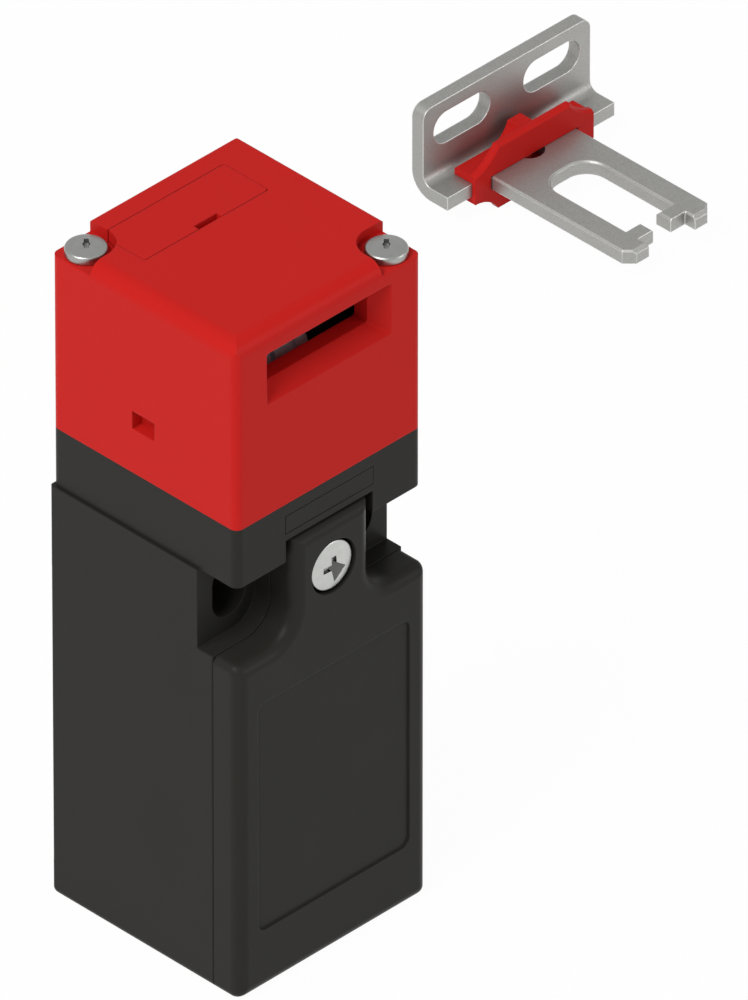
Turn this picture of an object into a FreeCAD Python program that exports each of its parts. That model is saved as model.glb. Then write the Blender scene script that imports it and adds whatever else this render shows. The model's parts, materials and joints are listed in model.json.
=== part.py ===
"""Tongue interlock switch with its separate steel actuator, in millimetres.

The origin is on the axis of the conduit entry, at the underside of the body.
+Z is up through the head, -Y is the cover side, and X runs across the front.
"""
import FreeCAD
import Part
import math
import os
import Sketcher
from FreeCAD import Placement, Rotation, Vector

# Every driving size, by the piece that owns it, in millimetres or degrees.
SIZES = {
    # body housing
    "body_width": 30.0,
    "body_height": 56.6,
    "body_back": 14.65,            # back face, behind the head axis
    "body_corner": 0.4,
    "parting_bevel": 0.15,         # on both sides of the line between body and cover
    "wall": 2.0,
    "entry_length": 9.0,           # threaded length of the conduit entry
    "entry_radius": 9.19,          # plain bore at the crest of an M20 x 1.5 thread
    "roof_drop": 12.6,             # roof of the wiring chamber, below the top of the body
    "chamber_corner": 1.0,
    "back_relief": 0.2,            # the back stands on a pad at each end
    "low_pad_height": 4.8,
    "high_pad_height": 11.1,
    "seal_recess_radius": 3.6,
    "seal_recess_depth": 2.0,
    # mounting slots
    "mount_spacing": 20.0,
    "mount_width": 5.2,
    "mount_height": 7.5,
    "mount_drop": 4.85,            # centre of the slots, below the top of the body
    "pocket_depth": 6.6,           # from the cover's face back to the screw seat
    "slot_end_flat": 0.1,          # short flat between the two rounds at a slot's end
    # front cover
    "front_reach": 15.35,          # cover face, in front of the head axis
    "cover_depth": 4.2,
    "shoulder_drop": 10.7,         # shoulders of the cover, below the top of the body
    "cover_round": 1.5,
    "cover_corner": 1.0,
    "neck_width": 11.8,
    "neck_rise": 2.6,              # how far the neck reaches over the band
    "shoulder_radius": 4.0,
    "label_width": 24.0,
    "label_low": 8.3,
    "label_margin": 6.2,           # above the label field, up to the shoulders
    "label_depth": 0.25,
    "label_corner": 1.2,
    "gasket_width": 1.0,
    "gasket_depth": 0.9,
    "gasket_margin": 0.5,
    "gasket_slack": 0.02,
    # cover screw and its insert
    "cover_screw_drop": 3.7,       # below the top of the body
    "cover_head_radius": 3.2,
    "cover_seat_depth": 1.9,
    "cover_head_height": 2.0,
    "cover_head_dome": 0.35,
    "cover_shank_radius": 1.45,
    "cover_insert_length": 5.4,
    "insert_radius": 2.2,
    "screw_tip_bevel": 0.3,
    "screw_shoulder": 0.25,        # round at the rim of a screw's head
    # clearances
    "running_gap": 0.08,           # radial, shaft in bore
    "fit_gap": 0.1,                # flat, piece in its seat
    "free_gap": 0.3,               # between pieces that pass each other
    "press_gap": 0.01,             # radial, pin that is pressed in
    # head base, its clip and seal
    "head_width": 29.2,
    "head_depth": 29.3,
    "head_corner": 1.0,
    "base_height": 7.9,
    "neck_notch_width": 13.7,
    "neck_notch_height": 2.9,
    "clip_width": 13.7,
    "clip_rise": 3.9,              # underside of the clip, above the body
    "clip_thickness": 2.3,
    "clip_reach": 5.8,             # tips of the clip, behind the head axis
    "spigot_radius": 5.6,
    "spigot_height": 7.6,
    "groove_radius": 4.5,
    "spring_well_radius": 3.3,
    "spring_well_floor": 0.8,      # above the top of the body
    "head_seal_width": 1.4,
    "head_seal_depth": 1.0,
    # head cap
    "cap_height": 25.1,
    "cap_round": 2.0,              # top edges in front and on the left
    "cap_edge": 0.4,               # top edges behind and on the right
    "slot_width": 16.0,
    "slot_height": 4.1,
    "slot_reach": 2.12,            # floor of the slot, below the top of the drum
    "funnel_depth": 2.08,
    "funnel_side_flare": 1.8,
    "funnel_low_flare": 1.53,
    "funnel_high_flare": 1.3,
    "funnel_corner": 0.3,
    "top_slot_start": 4.75,        # behind the head axis
    "top_slot_depth": 7.0,
    "top_slot_corner": 0.4,
    "plug_width": 19.4,
    "window_start": -1.7,
    "window_end": 1.85,
    "window_low": 6.0,             # above the joint line of the cap
    "window_height": 2.4,
    "window_depth": 1.5,
    # head screws
    "head_screw_inset": 2.8,       # in from the faces of the head
    "shelf_drop": 1.6,
    "shelf_radius": 3.35,
    "head_screw_head_radius": 2.5,
    "head_screw_head_height": 1.35,
    "head_screw_dome": 0.25,
    "head_screw_radius": 1.45,
    "head_insert_length": 6.6,
    # slot plug
    "plug_skirt_width": 15.6,
    "plug_skirt_depth": 2.6,
    "plug_skirt_drop": 4.0,
    "plug_skirt_wall": 1.0,
    "pry_notch_width": 3.6,
    "pry_notch_depth": 0.8,
    "pry_notch_offset": 0.6,
    # drum, axle and cheeks
    "axle_rise": 10.45,            # above the joint line of the cap
    "axle_radius": 2.0,
    "axle_length": 22.0,
    "axle_bevel": 0.3,
    "drum_radius": 8.2,
    "drum_width": 7.5,
    "web_width": 2.6,
    "web_groove_width": 0.66,
    "left_groove_depth": 1.3,
    "right_groove_depth": 0.5,
    "drum_turn": 79.0,
    "notch_angle": 39.4,           # of the entry notch at rest, from upright to the front
    "notch_spacing": 90.0,
    "notch_width": 3.15,
    "notch_floor": 4.4,
    "notch_flare": 0.5,
    "rim_past_notch": 26.0,        # degrees of rim behind the second notch
    "rim_flank": 4.0,              # degrees over which the rim steps down to the cam
    "cam_dwell": 31.0,             # degrees of full cam in front of the plunger
    "cam_high": 7.0,               # cam radius with the tongue out
    "cam_travel": 2.5,
    "cheek_depth": 16.4,
    "cheek_gap": 14.8,             # between the upper walls of the cheeks
    "cheek_thickness": 4.9,
    "ledge_gap": 8.2,              # between the ledges, around the drum
    "ledge_sink": 0.13,            # below the floor of the slot
    "ledge_back": 4.2,
    "lead_drop": 1.0,              # bevel that leads the tongue up onto the ledge
    "lead_run": 1.5,
    # plunger and its spring
    "plunger_radius": 2.0,
    "plunger_collar_radius": 3.0,
    "plunger_collar_height": 0.8,
    "nose_neck": 1.0,              # plain rod between the collar and the round nose
    "nose_gap": 0.25,
    "foot_gap": 0.2,               # above the contact carrier
    "spring_wire": 0.45,
    "spring_slack": 0.02,
    "plunger_spring_radius": 2.65,
    "plunger_spring_turns": 5.0,
    # contact block
    "block_width": 24.8,
    "block_height": 28.7,
    "block_front": -6.3,
    "chamber_width": 23.2,
    "chamber_roof": 2.2,
    "chamber_height": 15.0,
    "chamber_back": 6.0,
    "carrier_width": 7.2,
    "carrier_depth": 8.0,
    "carrier_rise": 3.5,           # above the floor of the contact chamber
    "carrier_height": 8.6,
    "carrier_corner": 0.6,
    "guide_rib_depth": 4.0,
    "guide_rib_thickness": 1.0,
    "bridge_length": 19.2,
    "bridge_width": 3.6,
    "bridge_thickness": 0.6,
    "bridge_corner": 0.8,
    "low_bridge_rise": 1.3,        # above the underside of the carrier
    "high_bridge_rise": 5.6,
    "button_radius": 1.1,
    "button_height": 0.5,
    "button_spacing": 16.8,
    "strip_thickness": 0.7,
    "strip_margin": 0.4,
    "strip_cross_drop": 3.0,       # lower edge of the strip that runs inwards, under its tab
    "contact_spring_radius": 2.3,
    "contact_spring_turns": 3.0,
    "terminal_drop": 6.5,          # below the floor of the contact chamber
    "outer_terminal": 9.2,
    "inner_terminal": 4.0,
    "terminal_clamp_width": 4.6,
    "terminal_clamp_thickness": 1.0,
    "terminal_clamp_corner": 0.4,
    "terminal_head_radius": 2.1,
    "terminal_head_height": 1.6,
    "terminal_head_dome": 0.5,
    "terminal_screw_length": 6.0,
    "terminal_screw_radius": 1.25,
    # actuator: a steel bracket with a tongue, and its plastic guide
    "actuator_right": 122.4,
    "actuator_behind": 74.3,
    "sheet": 1.8,
    "tongue_width": 14.05,
    "tongue_length": 22.4,
    "tongue_chamfer": 1.2,
    "tongue_edge": 0.2,
    "tongue_lead": 0.45,           # bevel on the edges that meet the slot and the drum
    "window_width": 7.6,
    "tongue_window_start": 4.7,
    "tongue_window_corner": 2.9,
    "tooth_start": 18.4,
    "tooth_length": 2.35,
    "tooth_depth": 2.35,
    "tongue_hole_radius": 2.0,
    "tongue_hole_back": 1.05,
    "flange_width": 27.5,
    "flange_front": 0.6,
    "plate_front": 4.6,
    "plate_height": 10.2,
    "plate_corner": 1.5,
    "bend_radius": 1.3,
    "plate_slot_spacing": 14.8,
    "plate_slot_length": 9.3,
    "plate_slot_height": 4.35,
    "plate_slot_centre": 6.3,
    "guide_width": 19.5,
    "guide_depth": 3.45,
    "guide_wing_top": 1.2,
    "guide_wing_low": 2.7,
    "guide_plate": 0.9,            # thickness of the wings over and under the flange
    "guide_ridge": 0.35,
    "guide_wall": 0.9,
    "guide_wall_top": 3.9,
    "guide_wall_low": 4.9,
    "guide_wall_width": 12.0,
    "guide_hump_width": 2.1,
    "guide_hump_base": 7.6,
    "guide_hump_top": 3.4,
    "guide_flank_radius": 7.0,
    "guide_arch_radius": 4.4,
    "guide_hump_radius": 3.6,
    "guide_side_gap": 0.15,        # beside the tongue
    "guide_peg_back": 1.9,
    "guide_peg_radius": 1.0,
}

# Proportions of a screw's cross recess: shares of its head's radius or height.
RECESS_REACH_SHARE = 0.52
RECESS_WIDTH_SHARE = 0.14
RECESS_DEPTH_SHARE = 0.62

# How far a cut runs past the face that it opens.
OVERRUN = 1.0

# Straight pieces between the points of the drum's spiral, and sides of a spring's wire.
SPIRAL_STEPS = 12
WIRE_SIDES = 6

# Smaller than anything drawn, and how close an edge lies to the place it is picked by.
TOLERANCE = 1e-4
EDGE_TOLERANCE = 0.01

document = FreeCAD.newDocument("tongue_interlock_switch")
sheet = document.addObject("Spreadsheet::Sheet", "Sizes")


class Size:
    """A length with its formula, so a shape's number and its link to the sheet are written once."""

    def __init__(self, number, formula):
        self.number = number
        self.formula = formula

    def __add__(self, other):
        other = as_size(other)
        return Size(self.number + other.number, f"({self.formula} + {other.formula})")

    def __sub__(self, other):
        other = as_size(other)
        return Size(self.number - other.number, f"({self.formula} - {other.formula})")

    def __rsub__(self, other):
        return as_size(other) - self

    def __mul__(self, other):
        other = as_size(other)
        return Size(self.number * other.number, f"({self.formula} * {other.formula})")

    def __truediv__(self, other):
        other = as_size(other)
        return Size(self.number / other.number, f"({self.formula} / {other.formula})")

    def __neg__(self):
        return Size(-self.number, f"(-{self.formula})")

    __radd__ = __add__
    __rmul__ = __mul__


def as_size(value):
    """A Size as it is, or a plain number as a Size."""
    return value if isinstance(value, Size) else Size(float(value), f"({float(value)})")


def other_leg(longest, leg):
    """The third side of a right triangle, from its longest side and one leg."""
    squared = longest * longest - leg * leg
    return Size(math.sqrt(squared.number), f"sqrt({squared.formula})")


def in_order(first, second):
    """Two sizes, the smaller one first."""
    return sorted((as_size(first), as_size(second)), key=lambda edge: edge.number)


def fill_sheet():
    """Write the driving sizes into the sheet and give back one Size for each."""
    named = {}
    for row, (name, number) in enumerate(SIZES.items(), start=1):
        sheet.set(f"A{row}", name)
        sheet.set(f"B{row}", str(number))
        sheet.setAlias(f"B{row}", name)
        named[name] = Size(number, f"Sizes.{name}")
    document.recompute()
    return named


size = fill_sheet()


def bind(item, setting, value):
    """Set one property to a size and tie it to the sheet."""
    value = as_size(value)
    if "." not in setting:
        setattr(item, setting, value.number)
    item.setExpression(setting, value.formula)


def place(item, x=0, y=0, z=0, turn=None):
    """Put a finished sub-part where it belongs, with its position tied to the sheet."""
    item.Placement = Placement(Vector(0, 0, 0), turn or Rotation())
    for letter, value in (("x", x), ("y", y), ("z", z)):
        bind(item, f"Placement.Base.{letter}", value)
    document.recompute()
    return item


class Drawing:
    """A sketch that faces along one axis of a body, drawn with sizes from the sheet.

    Facing X it is drawn in Y and Z, facing Y in X and Z, and facing Z in X and Y.
    """

    def __init__(self, body, axis, where=0):
        self.axis = axis
        self.normal = -1 if axis == "Y" else 1
        role = {"X": "YZ_Plane", "Y": "XZ_Plane", "Z": "XY_Plane"}[axis]
        plane = [item for item in body.Origin.OriginFeatures if item.Role == role][0]
        self.sketch = body.newObject("Sketcher::SketchObject", "Sketch")
        self.sketch.AttachmentSupport = [(plane, "")]
        self.sketch.MapMode = "FlatFace"
        bind(self.sketch, "AttachmentOffset.Base.z", as_size(where) * self.normal)

    def tie(self, kind, members, value):
        """Add one measured constraint and tie it to the sheet."""
        index = self.sketch.addConstraint(Sketcher.Constraint(kind, *members, value.number))
        self.sketch.setExpression(f"Constraints[{index}]", value.formula)

    def tie_point(self, index, end, x, y):
        """Hold one end of a line or arc at a place measured from the origin."""
        self.tie("DistanceX", (-1, 1, index, end), x)
        self.tie("DistanceY", (-1, 1, index, end), y)

    def outline(self, *points):
        """A closed outline. A point may add the radius of the arc that arrives at it,
        positive where the arc turns left and negative where it turns right."""
        spots = [(as_size(point[0]), as_size(point[1])) for point in points]
        radii = [as_size(point[2]) if len(point) > 2 else None for point in points]
        first = self.sketch.GeometryCount
        ends = []
        for number, (spot, radius) in enumerate(zip(spots, radii)):
            before = Vector(spots[number - 1][0].number, spots[number - 1][1].number, 0)
            after = Vector(spot[0].number, spot[1].number, 0)
            if radius is None:
                self.sketch.addGeometry(Part.LineSegment(before, after), False)
                ends.append((1, 2))
            elif radius.number > 0:
                self.sketch.addGeometry(left_arc(before, after, radius.number), False)
                ends.append((1, 2))
            else:
                self.sketch.addGeometry(left_arc(after, before, -radius.number), False)
                ends.append((2, 1))
        count = len(points)
        for number in range(count):
            following = (number + 1) % count
            joint = (first + number, ends[number][1], first + following, ends[following][0])
            self.sketch.addConstraint(Sketcher.Constraint("Coincident", *joint))
        for number, (spot, radius) in enumerate(zip(spots, radii)):
            self.tie_point(first + number, ends[number][1], *spot)
            if radius is not None:
                self.tie("Radius", (first + number,), radius if radius.number > 0 else -radius)
        return self

    def rectangle(self, left, right, low, high, corner=None):
        """A rectangle, with round corners where a corner radius is given. Its two sides,
        and its two ends, may come in either order."""
        left, right = in_order(left, right)
        low, high = in_order(low, high)
        if corner is None:
            return self.outline((left, low), (right, low), (right, high), (left, high))
        return self.outline(
            (right - corner, low), (right, low + corner, corner),
            (right, high - corner), (right - corner, high, corner), (left + corner, high),
            (left, high - corner, corner), (left, low + corner), (left + corner, low, corner))

    def circle(self, x, y, radius):
        """A circle at a place measured from the origin."""
        x, y, radius = as_size(x), as_size(y), as_size(radius)
        centre = Vector(x.number, y.number, 0)
        index = self.sketch.GeometryCount
        self.sketch.addGeometry(Part.Circle(centre, Vector(0, 0, 1), radius.number), False)
        self.tie("Radius", (index,), radius)
        if abs(x.number) < TOLERANCE and abs(y.number) < TOLERANCE:
            self.sketch.addConstraint(Sketcher.Constraint("Coincident", index, 3, -1, 1))
        else:
            self.tie_point(index, 3, x, y)
        return self


def left_arc(start, end, radius):
    """The shorter arc from start to end that turns left."""
    chord = end - start
    middle = (start + end) * 0.5
    reach = math.sqrt(max(radius ** 2 - chord.Length ** 2 / 4, 0))
    centre = middle + Vector(-chord.y, chord.x, 0).normalize() * reach
    first = math.atan2(start.y - centre.y, start.x - centre.x)
    last = math.atan2(end.y - centre.y, end.x - centre.x)
    if last < first:
        last += 2 * math.pi
    return Part.ArcOfCircle(Part.Circle(centre, Vector(0, 0, 1), radius), first, last)


def new_body(name):
    """An empty body that carries the name of its sub-part."""
    body = document.addObject("PartDesign::Body", name)
    body.Label = name
    return body


def pad(body, drawing, length, towards=1):
    """Push a drawing out along its axis, up it for 1 and down it for -1."""
    feature = body.newObject("PartDesign::Pad", "Pad")
    feature.Profile = drawing.sketch
    bind(feature, "Length", length)
    feature.Reversed = towards != drawing.normal
    document.recompute()
    return feature


def pocket(body, drawing, depth, towards=-1):
    """Cut a drawing into the body along its axis, and make sure that it cuts."""
    before = body.Shape.Volume
    feature = body.newObject("PartDesign::Pocket", "Pocket")
    feature.Profile = drawing.sketch
    bind(feature, "Length", depth)
    feature.Reversed = towards == drawing.normal
    document.recompute()
    if not body.Shape.Volume < before - TOLERANCE:
        raise ValueError(f"a pocket of {body.Label} cuts nothing")
    return feature


def flared_pocket(body, outer, inner):
    """Cut the tapered room between two drawings, and make sure that it cuts."""
    before = body.Shape.Volume
    feature = body.newObject("PartDesign::SubtractiveLoft", "Flared")
    feature.Profile = outer.sketch
    feature.Sections = [inner.sketch]
    document.recompute()
    if not body.Shape.Volume < before - TOLERANCE:
        raise ValueError(f"a tapered pocket of {body.Label} cuts nothing")
    return feature


def turn_about(body, drawing, kind="PartDesign::Revolution"):
    """Turn a drawing about the body's upright axis."""
    feature = body.newObject(kind, "Turned")
    feature.Profile = drawing.sketch
    axis = [item for item in body.Origin.OriginFeatures if item.Role == "Z_Axis"][0]
    feature.ReferenceAxis = (axis, [""])
    feature.Angle = 360
    document.recompute()
    return feature


def dress(body, kind, setting, amount, chosen):
    """Round or bevel the edges of the body that the test picks."""
    names = [f"Edge{number}" for number, edge in enumerate(body.Shape.Edges, start=1)
             if chosen(edge)]
    if not names:
        raise ValueError(f"no edge of {body.Label} fits")
    before = body.Tip
    feature = body.newObject(kind, "Dressed")
    feature.Base = (before, names)
    bind(feature, setting, amount)
    document.recompute()
    return feature


def fillet(body, radius, chosen):
    """Round the edges that the test picks."""
    return dress(body, "PartDesign::Fillet", "Radius", radius, chosen)


def chamfer(body, amount, chosen):
    """Bevel the edges that the test picks."""
    return dress(body, "PartDesign::Chamfer", "Size", amount, chosen)


def lies_at(edge, axis, where):
    """Whether the whole edge lies in the plane across an axis at one place."""
    number = as_size(where).number
    box = edge.BoundBox
    low = getattr(box, f"{axis}Min")
    high = getattr(box, f"{axis}Max")
    return abs(low - number) < EDGE_TOLERANCE and abs(high - number) < EDGE_TOLERANCE


def runs_along(edge, axis):
    """Whether the edge is straight and runs along an axis."""
    box = edge.BoundBox
    others = [letter for letter in "XYZ" if letter != axis]
    return all(getattr(box, f"{letter}Length") < EDGE_TOLERANCE for letter in others)


def copies(name, body, spots):
    """Several placed copies of one body, as one sub-part."""
    links = []
    for number, (x, y, z, turn) in enumerate(spots, start=1):
        link = document.addObject("App::Link", f"{name}_{number}")
        link.LinkedObject = body
        links.append(place(link, x, y, z, turn))
    group = document.addObject("Part::Compound", name)
    group.Label = name
    group.Links = links
    document.recompute()
    return group


def copy_source(name):
    """A body that is only there to be copied."""
    return new_body(f"{name}_source")


# Places that several pieces share.
half_width = size["body_width"] / 2
front_face = -size["front_reach"]
parting = front_face + size["cover_depth"]
pocket_floor = front_face + size["pocket_depth"]
body_top = size["body_height"]
neck_top = body_top + size["neck_rise"]
chamber_top = body_top - size["roof_drop"]
cover_top = body_top - size["shoulder_drop"]
cover_screw_z = body_top - size["cover_screw_drop"]
mount_z = body_top - size["mount_drop"]
mount_side = size["mount_spacing"] / 2
chamber_side = half_width - size["wall"]
base_top = body_top + size["base_height"]
head_top = base_top + size["cap_height"]
head_side = size["head_width"] / 2
head_face = size["head_depth"] / 2
screw_side = head_side - size["head_screw_inset"]
screw_face = head_face - size["head_screw_inset"]
axle_z = base_top + size["axle_rise"]
slot_low = axle_z + size["drum_radius"] - size["slot_reach"]
slot_high = slot_low + size["slot_height"]
funnel_low = slot_low - size["funnel_low_flare"]
inner_front = -head_face + size["funnel_depth"] + size["wall"]
cheek_side = size["cheek_gap"] / 2
plunger_bore = size["plunger_radius"] + size["running_gap"]
nose_low = axle_z - size["cam_high"] - size["nose_gap"]
collar_top = nose_low - size["plunger_radius"] - size["nose_neck"]
collar_low = collar_top - size["plunger_collar_height"]
block_top = chamber_top - size["free_gap"]
contact_roof = block_top - size["chamber_roof"]
contact_floor = contact_roof - size["chamber_height"]
carrier_low = contact_floor + size["carrier_rise"]
low_bridge = carrier_low + size["low_bridge_rise"]
high_bridge = carrier_low + size["high_bridge_rise"]
terminal_z = contact_floor - size["terminal_drop"]
screw_hole = size["head_screw_radius"] + size["fit_gap"]
TO_FRONT = Rotation(Vector(1, 0, 0), 90)
EIGHTH_TURN = Rotation(Vector(0, 0, 1), 45)


def make_body_housing():
    """The lower case: wiring chamber, conduit entry, mounting slots and the head's spigot."""
    body = new_body("body_housing")
    corner = size["body_corner"]
    back = size["body_back"]
    bevel = size["parting_bevel"]
    section = Drawing(body, "Z").outline(
        (-half_width, parting + bevel), (-half_width + bevel, parting),
        (half_width - bevel, parting), (half_width, parting + bevel), (half_width, back - corner),
        (half_width - corner, back, corner), (-half_width + corner, back),
        (-half_width, back - corner, corner))
    pad(body, section, body_top)
    chamber = Drawing(body, "Y", parting).rectangle(
        -chamber_side, chamber_side, size["entry_length"], chamber_top, size["chamber_corner"])
    pocket(body, chamber, size["body_back"] - size["wall"] - parting, 1)
    groove = Drawing(body, "Y", parting)
    draw_gasket(groove, 0)
    pocket(body, groove, size["gasket_depth"], 1)
    entry = Drawing(body, "Z").circle(0, 0, size["entry_radius"])
    pocket(body, entry, size["entry_length"] + OVERRUN, 1)
    for side in (-1, 1):
        seat = Drawing(body, "Y", parting)
        draw_shoulder_pocket(seat, side)
        pocket(body, seat, pocket_floor - parting, 1)
        slot = Drawing(body, "Y", pocket_floor).rectangle(
            mount_side * side - size["mount_width"] / 2, mount_side * side + size["mount_width"] / 2,
            mount_z - size["mount_height"] / 2, mount_z + size["mount_height"] / 2,
            (size["mount_width"] - size["slot_end_flat"]) / 2)
        pocket(body, slot, size["body_back"] - pocket_floor + OVERRUN, 1)
    relief = Drawing(body, "Y", back - size["back_relief"]).rectangle(
        -half_width - OVERRUN, half_width + OVERRUN, size["low_pad_height"],
        body_top - size["high_pad_height"])
    pocket(body, relief, OVERRUN, 1)
    insert = Drawing(body, "Y", parting).circle(0, cover_screw_z, size["insert_radius"])
    pocket(body, insert, size["cover_insert_length"], 1)
    spigot = Drawing(body, "Z", body_top).circle(0, 0, size["spigot_radius"])
    pad(body, spigot, size["spigot_height"])
    clip_groove = Drawing(body, "Z", body_top + size["clip_rise"] - size["fit_gap"])
    clip_groove.circle(0, 0, size["spigot_radius"] + OVERRUN)
    clip_groove.circle(0, 0, size["groove_radius"])
    pocket(body, clip_groove, size["clip_thickness"] + 2 * size["fit_gap"], 1)
    well = Drawing(body, "Z", body_top + size["spring_well_floor"]).circle(
        0, 0, size["spring_well_radius"])
    pocket(body, well, size["spigot_height"], 1)
    bore = Drawing(body, "Z", chamber_top - OVERRUN).circle(0, 0, plunger_bore)
    pocket(body, bore, body_top - chamber_top + 2 * OVERRUN, 1)
    seal = Drawing(body, "Z", chamber_top).circle(0, 0, size["seal_recess_radius"])
    pocket(body, seal, size["seal_recess_depth"], 1)
    fillet(body, size["cover_corner"], lambda edge: runs_along(edge, "Y")
           and lies_at(edge, "Z", 0)
           and (lies_at(edge, "X", half_width) or lies_at(edge, "X", -half_width)))
    return body


def draw_gasket(drawing, slack):
    """The ring outline around the wiring chamber, narrowed by a little slack."""
    for offset in (size["gasket_margin"] + slack,
                   size["gasket_margin"] + size["gasket_width"] - slack):
        drawing.rectangle(-chamber_side - offset, chamber_side + offset,
                          size["entry_length"] - offset, chamber_top + offset,
                          size["chamber_corner"] + offset)


def draw_shoulder_pocket(drawing, side):
    """The recess beside the neck, open to the side, with its round inner corner."""
    edge = size["neck_width"] / 2
    radius = size["shoulder_radius"]
    low = cover_top
    outside = half_width + OVERRUN
    above = body_top + OVERRUN
    points = [(edge, low + radius), (edge, above), (outside, above), (outside, low),
              (edge + radius, low)]
    placed = [(x * side, y) for x, y in points]
    arc = radius * -side
    drawing.outline((placed[0][0], placed[0][1], arc), *placed[1:])


def make_front_cover():
    """The lid over the wiring chamber, with the neck that takes its screw."""
    body = new_body("front_cover")
    edge = size["neck_width"] / 2
    radius = size["shoulder_radius"]
    high = cover_top
    corner = size["cover_corner"]
    outline = Drawing(body, "Y", front_face).outline(
        (half_width - corner, 0), (half_width, corner, corner),
        (half_width, high - corner), (half_width - corner, high, corner), (edge + radius, high),
        (edge, high + radius, -radius), (edge, neck_top), (-edge, neck_top),
        (-edge, high + radius), (-edge - radius, high, -radius), (-half_width + corner, high),
        (-half_width, high - corner, corner), (-half_width, corner),
        (-half_width + corner, 0, corner))
    pad(body, outline, size["cover_depth"])
    fillet(body, size["cover_round"], lambda edge: lies_at(edge, "Y", front_face)
           and not lies_at(edge, "Z", 0))
    chamfer(body, size["parting_bevel"], lambda edge: lies_at(edge, "Y", parting)
            and not lies_at(edge, "Z", neck_top))
    label = Drawing(body, "Y", front_face).rectangle(
        -size["label_width"] / 2, size["label_width"] / 2, size["label_low"],
        cover_top - size["label_margin"], size["label_corner"])
    pocket(body, label, size["label_depth"], 1)
    hollow = Drawing(body, "Y", parting).rectangle(
        -chamber_side, chamber_side, size["entry_length"], chamber_top, size["chamber_corner"])
    pocket(body, hollow, size["cover_depth"] - size["wall"], -1)
    seat = Drawing(body, "Y", front_face).circle(
        0, cover_screw_z, size["cover_head_radius"] + size["free_gap"])
    pocket(body, seat, size["cover_seat_depth"], 1)
    hole = Drawing(body, "Y", front_face).circle(
        0, cover_screw_z, size["cover_shank_radius"] + size["free_gap"])
    pocket(body, hole, size["cover_depth"] + OVERRUN, 1)
    return body


def make_cover_gasket():
    """The rubber ring in the rim of the chamber, flush with the parting line."""
    body = new_body("cover_gasket")
    ring = Drawing(body, "Y", parting)
    draw_gasket(ring, size["gasket_slack"])
    pad(body, ring, size["gasket_depth"])
    return body


def make_screw(body, head_radius, head_height, dome, shank_radius, length):
    """A pan head screw, standing head up on its seat, with a cross recess."""
    bevel = size["screw_tip_bevel"]
    shoulder = size["screw_shoulder"]
    crown = head_radius - shoulder
    rim = head_height - dome
    profile = Drawing(body, "Y").outline(
        (0, -length), (shank_radius - bevel, -length), (shank_radius, -length + bevel),
        (shank_radius, 0), (head_radius, 0), (head_radius, rim - shoulder),
        (crown, rim, shoulder), (0, head_height, (crown * crown + dome * dome) / (dome * 2)))
    turn_about(body, profile)
    arm = head_radius * RECESS_REACH_SHARE
    half = head_radius * RECESS_WIDTH_SHARE
    cross = Drawing(body, "Z", head_height + OVERRUN).outline(
        (arm, -half), (arm, half), (half, half), (half, arm), (-half, arm), (-half, half),
        (-arm, half), (-arm, -half), (-half, -half), (-half, -arm), (half, -arm), (half, -half))
    pocket(body, cross, head_height * RECESS_DEPTH_SHARE + OVERRUN)
    return body


def make_cover_screw():
    """The captive screw in the neck of the cover."""
    length = (size["cover_depth"] - size["cover_seat_depth"] + size["cover_insert_length"]
              - 2 * size["free_gap"])
    body = make_screw(new_body("cover_screw"), size["cover_head_radius"],
                      size["cover_head_height"], size["cover_head_dome"],
                      size["cover_shank_radius"], length)
    return place(body, 0, front_face + size["cover_seat_depth"], cover_screw_z, TO_FRONT)


def make_insert(body, bore, length):
    """A brass sleeve that a screw turns into, with its mouth at the origin."""
    ring = Drawing(body, "Z").circle(0, 0, size["insert_radius"]).circle(0, 0, bore)
    pad(body, ring, length, -1)
    return body


def make_cover_insert():
    """The threaded sleeve that the cover screw turns into."""
    body = make_insert(new_body("cover_insert"),
                       size["cover_shank_radius"] + size["running_gap"],
                       size["cover_insert_length"])
    return place(body, 0, parting, cover_screw_z, TO_FRONT)


def draw_head_section(drawing):
    """The square section that the base and the cap of the head share."""
    return drawing.rectangle(-head_side, head_side, -head_face, head_face, size["head_corner"])


def make_head_base():
    """The dark band that turns on the spigot, with the notch over the cover's neck."""
    body = new_body("head_base")
    pad(body, draw_head_section(Drawing(body, "Z", body_top)), size["base_height"])
    bore = Drawing(body, "Z", body_top).circle(0, 0, size["spigot_radius"] + size["fit_gap"])
    pocket(body, bore, size["base_height"] + OVERRUN, 1)
    seal = Drawing(body, "Z", body_top).circle(
        0, 0, size["spigot_radius"] + size["head_seal_width"] + 2 * size["fit_gap"])
    pocket(body, seal, size["head_seal_depth"], 1)
    notch = Drawing(body, "Y", -head_face).rectangle(
        -size["neck_notch_width"] / 2, size["neck_notch_width"] / 2,
        body_top - OVERRUN, body_top + size["neck_notch_height"])
    pocket(body, notch, head_face + parting + size["free_gap"], 1)
    clip = size["clip_width"] / 2 + size["fit_gap"]
    slot = Drawing(body, "Y", -head_face).rectangle(
        -clip, clip, body_top + size["clip_rise"] - size["fit_gap"],
        body_top + size["clip_rise"] + size["clip_thickness"] + size["fit_gap"])
    pocket(body, slot, head_face + size["clip_reach"] + size["fit_gap"], 1)
    for side in (-1, 1):
        insert = Drawing(body, "Z", base_top).circle(
            screw_side * side, screw_face * -side, size["insert_radius"])
        pocket(body, insert, size["head_insert_length"])
    return body


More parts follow.
